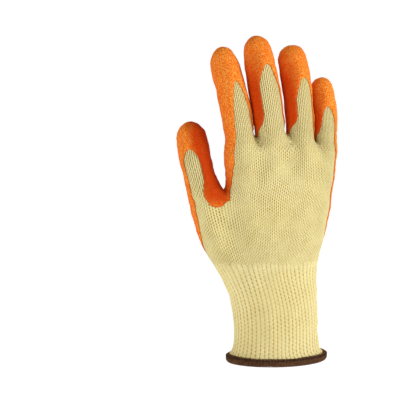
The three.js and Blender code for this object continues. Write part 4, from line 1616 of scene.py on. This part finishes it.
@dataclass
class RibCuff:
    """The ribbed cuff, a wall on a fine grid of its own."""

    form: GloveForm
    rounds: int = 4
    ribs: int = 56
    per_rib: int = 8
    rows: int = 75
    wall: float = 1.5
    relief: float = 0.3
    fade: float = 5.0
    crest_power: float = 0.8

    def grid(self) -> tuple[np.ndarray, np.ndarray]:
        """Lays a fine grid on the smooth cuff, row by row.

        Returns:
            Its points and their normals.
        """
        net, normals = self.form.surface(self.rounds)
        fine = 2 ** self.rounds
        around = self.form.columns * fine
        tall = int((RIB_TOP + OVERLAP) * fine)
        mask = ~self.form.above(net, RIB_TOP + OVERLAP)
        columns = np.rint(net.marks[mask][:, :, 0] * fine).astype(int) % around
        rows = np.rint(net.marks[mask][:, :, 1] * fine).astype(int)
        index = np.zeros((tall + 1, around + 1), int)
        index[rows, columns] = net.quads[mask]
        index[:, around] = index[:, 0]
        count = self.ribs * self.per_rib
        across = np.arange(count) / count * around
        upward = np.linspace(0, tall, self.rows + 1)
        results = []
        for values in (net.points, normals):
            field = values[index]
            low = across.astype(int)
            share = (across - low)[None, :, None]
            field = field[:, low] * (1 - share) + field[:, low + 1] * share
            low = np.minimum(upward.astype(int), tall - 1)
            share = (upward - low)[:, None, None]
            results.append(field[low] * (1 - share) + field[low + 1] * share)
        return results[0], results[1]

    def build(self) -> bpy.types.Object:
        """Builds and dresses the cuff.

        Returns:
            Its object.
        """
        points, normals = self.grid()
        count = self.ribs * self.per_rib
        turn = np.arange(count) / self.per_rib
        level = points[:, :, 2]
        crest = np.abs(np.sin(np.pi * turn))[None, :] ** self.crest_power
        row = np.linspace(0, RIB_TOP + OVERLAP, self.rows + 1)[:, None]
        end = level[int(np.argmin(abs(row - RIB_TOP)))]
        fade = ((end - level) / self.fade).clip(0, 1)
        fade = fade * fade * (3 - 2 * fade)
        lift = -self.relief * (1 - crest) * fade
        lift = lift + UNEVENNESS * RIPPLES.at(points.reshape(-1, 3)).reshape(level.shape)
        lift = lift - TUCK * ((row - RIB_TOP) / OVERLAP).clip(0, 1)
        outer = (points + normals * lift[:, :, None]).reshape(-1, 3)
        inner = (points - normals * self.wall).reshape(-1, 3)
        base = np.arange(self.rows)[:, None] * count
        here = np.arange(count)[None, :]
        after = (here + 1) % count
        faces = np.stack([base + here, base + after, base + count + after,
                          base + count + here], axis=2).reshape(-1, 4)
        walls, both, rim = closed_wall(outer, inner, faces)
        right = here + 1 + 0 * base
        left = here + 0 * base
        low = level[:-1]
        high = level[1:]
        across = np.stack([left, right, right, left], axis=2) / self.per_rib
        along = np.stack([low, np.roll(low, -1, 1), np.roll(high, -1, 1), high], axis=2)
        uv = np.stack([across, along], axis=3).reshape(-1, 4, 2)
        uv = np.concatenate([uv, uv[:, ::-1], np.zeros((len(rim), 4, 2))])
        piece = MeshPiece("ribbed_cuff", walls, [both, rim]).map(uv)
        piece.attribute(FADE_ATTRIBUTE, np.tile(fade.ravel(), 2))
        return finished(piece, RibFinish(), Slot.KNIT, "rib_cuff")


@dataclass
class LatexCoat:
    """The crinkled coat over palm, fingertips and thumb."""

    form: GloveForm
    rounds: int = 3
    lift: float = 1.1
    edge_lift: float = 0.5
    roll: float = 1.4
    sink: float = 0.35
    crinkle: float = 0.12
    scallop: float = 0.2
    sliver: float = 0.03
    # These place the painted shade: sides toward other digits, the thumb's web, and weakly every
    # side turned left.
    finger_side: tuple = (-1.0, -0.1, -0.2)
    thumb_side: tuple = (1.0, -0.6, 0.5)
    shaded_side: tuple = (-1.0, 0.0, -0.2)
    shaded_side_share: float = 0.22
    shade_reach: float = 30.0
    thumb_reach: float = 0.7
    swell: float = 0.5
    swell_reach: float = 36.0
    web_shade_place: tuple = (-49.0, -2.0, 137.0)
    web_reach: float = 17.0
    web_shade: float = 0.9
    web_fade: float = 0.4
    side_gain: float = 1.25
    side_fade: float = 0.7
    darkest_shade: float = 0.88
    swell_fade: float = 0.5

    def painted_shade(self, net: QuadNet, normals: np.ndarray) -> np.ndarray:
        """Works out the painted shade: where the coat faces another digit, in the thumb's web, and
        a little on every side turned left.

        Args:
            net: The fine net.
            normals: Its normals.

        Returns:
            How much painted shade each point gets, 0 to 1.
        """
        off = np.linalg.norm(net.points - np.array(self.web_shade_place), axis=1)
        total = self.web_shade * (1 - off / self.web_reach).clip(0, 1) ** self.web_fade
        tops = [self.form.ends(row)[1][2] for row in self.form.rows]
        for index, row in enumerate(self.form.rows[1:], start=1):
            used = np.unique(net.quads[net.parts == index + 2])
            side, top = self.finger_side, min(tops[index - 1:index + 1])
            if row.name == THUMB.name:
                side, top = self.thumb_side, tops[index] + self.shade_reach * self.thumb_reach
            turned = (self.side_gain * normals[used] @ np.array(side)).clip(0, 1)
            turned = turned ** self.side_fade
            below = ((top - net.points[used, 2]) / self.shade_reach).clip(0, 1)
            below = below ** self.side_fade
            total[used] = np.maximum(total[used], turned * below)
        # A little painted shade on every side turned left.
        turned = self.shaded_side_share * (normals @ np.array(self.shaded_side)).clip(0, 1)
        return np.maximum(total, turned).clip(0, self.darkest_shade)

    def swelling(self, net: QuadNet, normals: np.ndarray) -> np.ndarray:
        """Thickens the coat where it closes the slits between fingers.

        Args:
            net: The fine net.
            normals: Its normals.

        Returns:
            The extra thickness at each point, in mm.
        """
        total = np.zeros(len(net.points))
        last = len(FINGERS) - 1
        for index, row in enumerate(FINGERS):
            used = np.unique(net.quads[net.parts == index + 2])
            sideways = normals[used, 0]
            turned = np.where(sideways < 0, -sideways * (index > 0), sideways * (index < last))
            above = net.points[used, 2] - self.form.ends(row)[0][2]
            near = (1 - above / self.swell_reach).clip(0, 1)
            total[used] = turned * near ** self.swell_fade
        return total * self.swell

    def build(self) -> bpy.types.Object:
        """Builds and dresses the coat.

        Returns:
            Its object.
        """
        net, normals = self.form.surface(self.rounds)
        field = self.form.coat_field(net)
        field += self.scallop * SCALLOPS.at(net.points)
        field = np.where(abs(field) < self.sliver, -self.sliver, field)
        triangles = np.concatenate([net.quads[:, [0, 1, 2]], net.quads[:, [0, 2, 3]]])
        kept = clipped(triangles, field, net.points, normals, field,
                       self.painted_shade(net, normals), self.swelling(net, normals))
        faces, points, normals, depth, shade, swelling = used_only(*kept)
        share = (depth / self.roll).clip(0, 1)
        share = 1 - (1 - share) ** 2
        height = self.edge_lift + (self.lift - self.edge_lift) * share
        height += UNEVENNESS * RIPPLES.at(points) + swelling
        height += self.crinkle * share * CRINKLE.at(points)
        outer = points + normals * height[:, None]
        inner = points - normals * self.sink
        walls, both, rim = closed_wall(outer, inner, faces)
        piece = MeshPiece("latex_coat", walls, [both, rim])
        piece.attribute(EDGE_ATTRIBUTE, np.tile(depth, 2))
        piece.attribute(PAINTED_SHADE_ATTRIBUTE, np.tile(shade, 2))
        return finished(piece, LatexFinish(), Slot.LATEX, "latex_coating")


class ThreadTree(NodeSheet):
    """A Geometry Nodes tree that sets a bent piece of thread on each of its seeds."""

    def __init__(self, name: str, sizes: dict) -> None:
        """Makes the tree with its named inputs.

        Args:
            name: The tree's name.
            sizes: The inputs' values by name, lengths in metres and a seed as int.
        """
        super().__init__(bpy.data.node_groups.new(name, "GeometryNodeTree"))
        face = self.tree.interface
        face.new_socket("Geometry", in_out="INPUT", socket_type="NodeSocketGeometry")
        for label, value in sizes.items():
            kind = "NodeSocketInt" if isinstance(value, int) else "NodeSocketFloat"
            face.new_socket(label, in_out="INPUT", socket_type=kind).default_value = value
        face.new_socket("Geometry", in_out="OUTPUT", socket_type="NodeSocketGeometry")
        self.sizes = self.add("NodeGroupInput").outputs

    def vector(self, x: object, y: object, z: object) -> bpy.types.NodeSocket:
        """Joins three numbers or sockets."""
        return self.add("ShaderNodeCombineXYZ", X=x, Y=y, Z=z).outputs[0]

    def wire(self, course: bpy.types.NodeSocket, sides: int,
             caps: bool) -> bpy.types.NodeSocket:
        """Runs a round thread along a curve.

        Args:
            course: The curve.
            sides: Number of the thread's sides.
            caps: Whether its ends are closed.

        Returns:
            The thread.
        """
        section = self.add("GeometryNodeCurvePrimitiveCircle", Resolution=sides,
                           Radius=self.sizes["Thread radius"])
        wire = self.add("GeometryNodeCurveToMesh", Curve=course, i1=section.outputs[0],
                        Fill_Caps=caps)
        return wire.outputs[0]

    def on_seeds(self, shape: bpy.types.NodeSocket) -> bpy.types.NodeSocket:
        """Sets a shape on each seed.

        Args:
            shape: The shape, whose X turns to the seed's outward direction.

        Returns:
            The instances.
        """
        outward = self.add("GeometryNodeInputNamedAttribute", {"data_type": "FLOAT_VECTOR"},
                           Name=OUT_ATTRIBUTE)
        turn = self.add("FunctionNodeAxesToRotation",
                        {"primary_axis": "X", "secondary_axis": "Z"},
                        i0=outward.outputs[0], i1=(0.0, 0.0, 1.0))
        return self.add("GeometryNodeInstanceOnPoints", Points=self.sizes["Geometry"],
                        Instance=shape, Rotation=turn.outputs[0]).outputs[0]

    def close(self, spots: bpy.types.NodeSocket, finish: Finish) -> None:
        """Makes the instances real, smooth and dressed.

        Args:
            spots: The instances.
            finish: Their finish.
        """
        real = self.add("GeometryNodeRealizeInstances", Geometry=spots)
        smooth = self.add("GeometryNodeSetShadeSmooth", Geometry=real.outputs[0])
        paint = self.add("GeometryNodeSetMaterial", Geometry=smooth.outputs[0],
                         Material=finish.material())
        self.add("NodeGroupOutput", i0=paint.outputs[0])

    def grown(self, seeds: MeshPiece, name: str, slot: Slot) -> bpy.types.Object:
        """Runs the tree on its seeds and keeps the result as a plain mesh.

        Args:
            seeds: The points that the tree works on; they are removed.
            name: The new piece's name.
            slot: The material slot of its finish; not used.

        Returns:
            The new piece.
        """
        modifier = seeds.object.modifiers.new("grow", "NODES")
        modifier.node_group = self.tree
        for item in self.tree.interface.items_tree:
            if item.in_out == "INPUT" and item.socket_type != "NodeSocketGeometry":
                modifier[item.identifier] = item.default_value
        graph = bpy.context.evaluated_depsgraph_get()
        mesh = bpy.data.meshes.new_from_object(seeds.object.evaluated_get(graph))
        mesh.name = name
        thing = bpy.data.objects.new(name, mesh)
        bpy.context.scene.collection.objects.link(thing)
        seeds.object.modifiers.remove(modifier)
        bpy.data.objects.remove(seeds.object)
        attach(thing, "root")
        log.info("%s: %d faces", name, len(mesh.polygons))
        return thing


@dataclass
class OverlockHem:
    """The brown overlocked hem: a core in loops of thread, painted dark as the shade between them,
    stitched into the cuff.
    """

    cuff: RibCuff
    thickness: float = 4.2
    height: float = 6.2
    corner: float = 0.5
    profile: int = 18
    waviness: float = 0.05
    thread: float = 0.5
    core_inset: float = 0.9
    pitch: float = 1.15
    loop_points: int = 18
    loop_sides: int = 6
    lean: float = 0.16
    least_lean: tuple = (0.1, -0.04, -0.1)
    stray: float = -0.05
    seed: int = 4
    bite_pitch: float = 2.3
    bite_width: float = 0.22
    bite_rise: float = 0.9
    bite_off: float = 0.25
    bite_drop: float = 1.7
    bite_thread: float = 0.7
    bite_lean: float = -0.9
    bite_points: int = 6
    bite_sides: int = 5

    def rim(self) -> tuple[np.ndarray, np.ndarray]:
        """Finds the line that the hem follows.

        Returns:
            The middle line of the hem and its outward directions.
        """
        points, normals = self.cuff.grid()
        outward = normals[0] * np.array([1, 1, 0])
        outward /= np.linalg.norm(outward, axis=1)[:, None]
        middle = points[0] - outward * self.cuff.wall / 2
        middle[:, 2] -= self.cuff.form.hem_height / 2
        return middle, outward

    def spaced(self, pitch: float) -> tuple[np.ndarray, np.ndarray]:
        """Spreads places evenly over the middle line.

        Args:
            pitch: About how far apart they are.

        Returns:
            The places and the outward directions there.
        """
        middle, outward = self.rim()
        steps = np.linalg.norm(np.roll(middle, -1, axis=0) - middle, axis=1)
        run = np.concatenate([[0], np.cumsum(steps)])
        count = int(round(run[-1] / pitch))
        at = np.arange(count) / count * run[-1]
        places, out = (
            np.stack([np.interp(at, run, [*line[:, k], line[0, k]]) for k in range(3)], axis=1)
            for line in (middle, outward)
        )
        return places, out / np.linalg.norm(out, axis=1)[:, None]

    def band(self) -> bpy.types.Object:
        """Builds the core of the hem.

        Returns:
            Its object.
        """
        middle, outward = self.rim()
        angles = np.arange(self.profile) / self.profile * 2 * np.pi
        flat = np.sign(np.cos(angles)) * abs(np.cos(angles)) ** self.corner
        tall = np.sign(np.sin(angles)) * abs(np.sin(angles)) ** self.corner
        wave = 1 + self.waviness * SCALLOPS.at(middle)
        half = self.thickness / 2 - self.thread * self.core_inset
        high = self.height / 2 - self.thread * self.core_inset
        points = middle[:, None, :] + outward[:, None, :] * (flat * half)[None, :, None]
        points[:, :, 2] += tall[None, :] * high * wave[:, None]
        count, size = len(middle), self.profile
        base = np.arange(count)[:, None] * size
        after = ((np.arange(count) + 1) % count)[:, None] * size
        here = np.arange(size)[None, :]
        up = (here + 1) % size
        faces = np.stack([base + here, after + here, after + up, base + up], axis=2)
        piece = MeshPiece("hem_band", points.reshape(-1, 3), [faces.reshape(-1, 4)])
        # The core is painted near black as the shade between the loops.
        return finished(piece, ShadowCoreFinish(), Slot.THREAD, "overlock_hem")

    def threads(self) -> bpy.types.Object:
        """Winds loops of thread round the band.

        Returns:
            Their object.
        """
        places, out = self.spaced(self.pitch)
        seeds = MeshPiece("hem_seeds", places, []).attribute(OUT_ATTRIBUTE, out)
        tree = ThreadTree("thread_loops", {
            "Thread radius": self.thread * MM,
            "Half thickness": self.thickness / 2 * MM,
            "Half height": self.height / 2 * MM,
            "Lean": self.lean,
            "Seed": self.seed,
        })
        loop = tree.add("GeometryNodeCurvePrimitiveCircle", Resolution=self.loop_points,
                        Radius=1.0)
        size = tree.vector(tree.sizes["Half thickness"], tree.sizes["Half height"], 1.0)
        oval = tree.add("GeometryNodeTransform", Geometry=loop.outputs[0], Scale=size)
        upright = tree.add("GeometryNodeTransform", Geometry=oval.outputs[0],
                           Rotation=(np.pi / 2, 0.0, 0.0))
        spots = tree.on_seeds(tree.wire(upright.outputs[0], self.loop_sides, False))
        most = tree.vector(tree.sizes["Lean"], self.stray, self.stray)
        chance = tree.add("FunctionNodeRandomValue", {"data_type": "FLOAT_VECTOR"},
                          i0=self.least_lean, i1=most, Seed=tree.sizes["Seed"])
        leaning = tree.add("GeometryNodeRotateInstances", Instances=spots,
                           Rotation=chance.outputs[0])
        tree.close(leaning.outputs[0], ThreadFinish())
        return tree.grown(seeds, "hem_threads", Slot.THREAD)

    def bites(self) -> bpy.types.Object:
        """Sets the stitches that bite into the cuff over the hem's upper side, painted near black
        as the shade in their holes.

        Returns:
            Their object.
        """
        places, out = self.spaced(self.bite_pitch)
        places += out * (self.thickness / 2 + self.bite_off)
        places[:, 2] += self.height / 2 - self.bite_drop
        seeds = MeshPiece("bite_seeds", places, []).attribute(OUT_ATTRIBUTE, out)
        tree = ThreadTree("thread_bites", {
            "Thread radius": self.thread * self.bite_thread * MM,
            "Width": self.bite_pitch * self.bite_width * MM,
            "Rise": self.bite_rise * MM,
        })
        width, rise = Num(tree, tree.sizes["Width"]), Num(tree, tree.sizes["Rise"])
        left = tree.vector(0.0, width * -1.0, 0.0)
        peak = tree.vector(rise * self.bite_lean, 0.0, rise * 2.0)
        vee = tree.add("GeometryNodeCurveQuadraticBezier", Resolution=self.bite_points,
                       Start=left, Middle=peak, End=tree.vector(0.0, width, 0.0))
        wire = tree.wire(vee.outputs[0], self.bite_sides, True)
        # The bites wear the near-black core colour, painted as the shade in their stitch holes.
        tree.close(tree.on_seeds(wire), ShadowCoreFinish())
        return tree.grown(seeds, "hem_bites", Slot.THREAD)

    def build(self) -> None:
        """Builds the band, its threads and its bites."""
        self.band()
        self.threads()
        self.bites()


class Lamp(NamedTuple):
    """A soft square light: its place and size in mm, and its power in watts."""

    name: str
    place: tuple
    size: float
    power: float


@dataclass
class Studio:
    """Floor, soft lights and the camera at the photograph's angle."""

    azimuth: float = -18.0
    elevation: float = 5.0
    distance: float = 1100.0
    target: tuple = (0.0, 0.0, 130.0)
    frame_width: float = 317.0
    target_pixel: tuple = (278.0, 198.0)
    picture: float = 400.0
    sensor: float = 36.0
    floor_drop: float = 160.0
    floor_reach: float = 6000.0
    floor_rise: float = 1500.0
    bend_radius: float = 1200.0
    bend_steps: int = 13
    daylight: float = 0.34
    far_end: float = 50.0
    lamps: tuple = (
        Lamp("key", (1400, -700, 600), 500, 19),
        Lamp("fill", (-1300, -800, 300), 900, 8.5),
    )

    def camera(self) -> None:
        """Makes the camera, which is panned so that the glove stands right of centre."""
        turn, tilt = np.radians(self.azimuth), np.radians(self.elevation)
        back = Vector((np.sin(turn) * np.cos(tilt), -np.cos(turn) * np.cos(tilt),
                       np.sin(tilt)))
        right = Vector((np.cos(turn), np.sin(turn), 0))
        up = back.cross(right)
        target = Vector(self.target) * MM
        place = target + back * self.distance * MM
        step = self.frame_width / self.picture * MM
        aim = target + right * (self.picture / 2 - self.target_pixel[0]) * step
        aim += up * (self.target_pixel[1] - self.picture / 2) * step
        lens = bpy.data.cameras.new("camera")
        lens.sensor_width = self.sensor
        lens.lens = self.sensor * self.distance / self.frame_width
        lens.clip_end = self.far_end
        camera = bpy.data.objects.new("camera", lens)
        bpy.context.scene.collection.objects.link(camera)
        looking = (aim - place).to_track_quat("-Z", "Y").to_matrix().to_4x4()
        camera.matrix_world = Matrix.Translation(place) @ looking
        bpy.context.scene.camera = camera

    def floor(self) -> None:
        """Makes one sheet that is floor in front and backdrop behind."""
        reach, rise, drop = self.floor_reach, self.floor_rise, -self.floor_drop
        bend = np.radians(np.linspace(0, 90, self.bend_steps))
        radius = self.bend_radius
        depth = [-reach, *(reach / 3 + radius * np.sin(bend)), reach / 3 + radius]
        level = [drop, *(drop + radius * (1 - np.cos(bend))), drop + radius + rise]
        points = []
        for y, z in zip(depth, level):
            points += [[-reach, y, z], [reach, y, z]]
        faces = [[2 * i, 2 * i + 1, 2 * i + 3, 2 * i + 2] for i in range(len(depth) - 1)]
        piece = MeshPiece("studio_floor", np.array(points), [np.array(faces)])
        piece.object.data.materials.append(FloorFinish().material())

    def light(self, lamp: Lamp) -> None:
        """Adds a light that looks at the glove.

        Args:
            lamp: The light.
        """
        data = bpy.data.lights.new(lamp.name, "AREA")
        data.shape = "SQUARE"
        data.size = lamp.size * MM
        data.energy = lamp.power
        thing = bpy.data.objects.new(lamp.name, data)
        bpy.context.scene.collection.objects.link(thing)
        spot = Vector(lamp.place) * MM
        looking = (Vector(self.target) * MM - spot).to_track_quat("-Z", "Y")
        thing.matrix_world = Matrix.Translation(spot) @ looking.to_matrix().to_4x4()

    def build(self) -> None:
        """Builds the studio."""
        world = bpy.data.worlds.new("studio")
        world.use_nodes = True
        ground = world.node_tree.nodes["Background"]
        ground.inputs["Color"].default_value = (1, 1, 1, 1)
        ground.inputs["Strength"].default_value = self.daylight
        bpy.context.scene.world = world
        bpy.context.scene.view_settings.view_transform = "Standard"
        for lamp in self.lamps:
            self.light(lamp)
        self.floor()
        self.camera()


def main() -> None:
    """Builds the glove around the frame, then the studio."""
    logging.basicConfig(level=logging.INFO, format="%(name)s %(message)s")
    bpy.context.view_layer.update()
    form = GloveForm(
        finger_top=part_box("knit_middle_finger")[1].z / MM,
        thumb_top=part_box("knit_thumb")[1].z / MM,
    )
    log.info("tips from the frame: %.1f and %.1f mm", form.finger_top, form.thumb_top)
    KnitSkin(form).build()
    cuff = RibCuff(form)
    cuff.build()
    LatexCoat(form).build()
    OverlockHem(cuff).build()
    Studio().build()


if __name__ == "__main__":
    main()
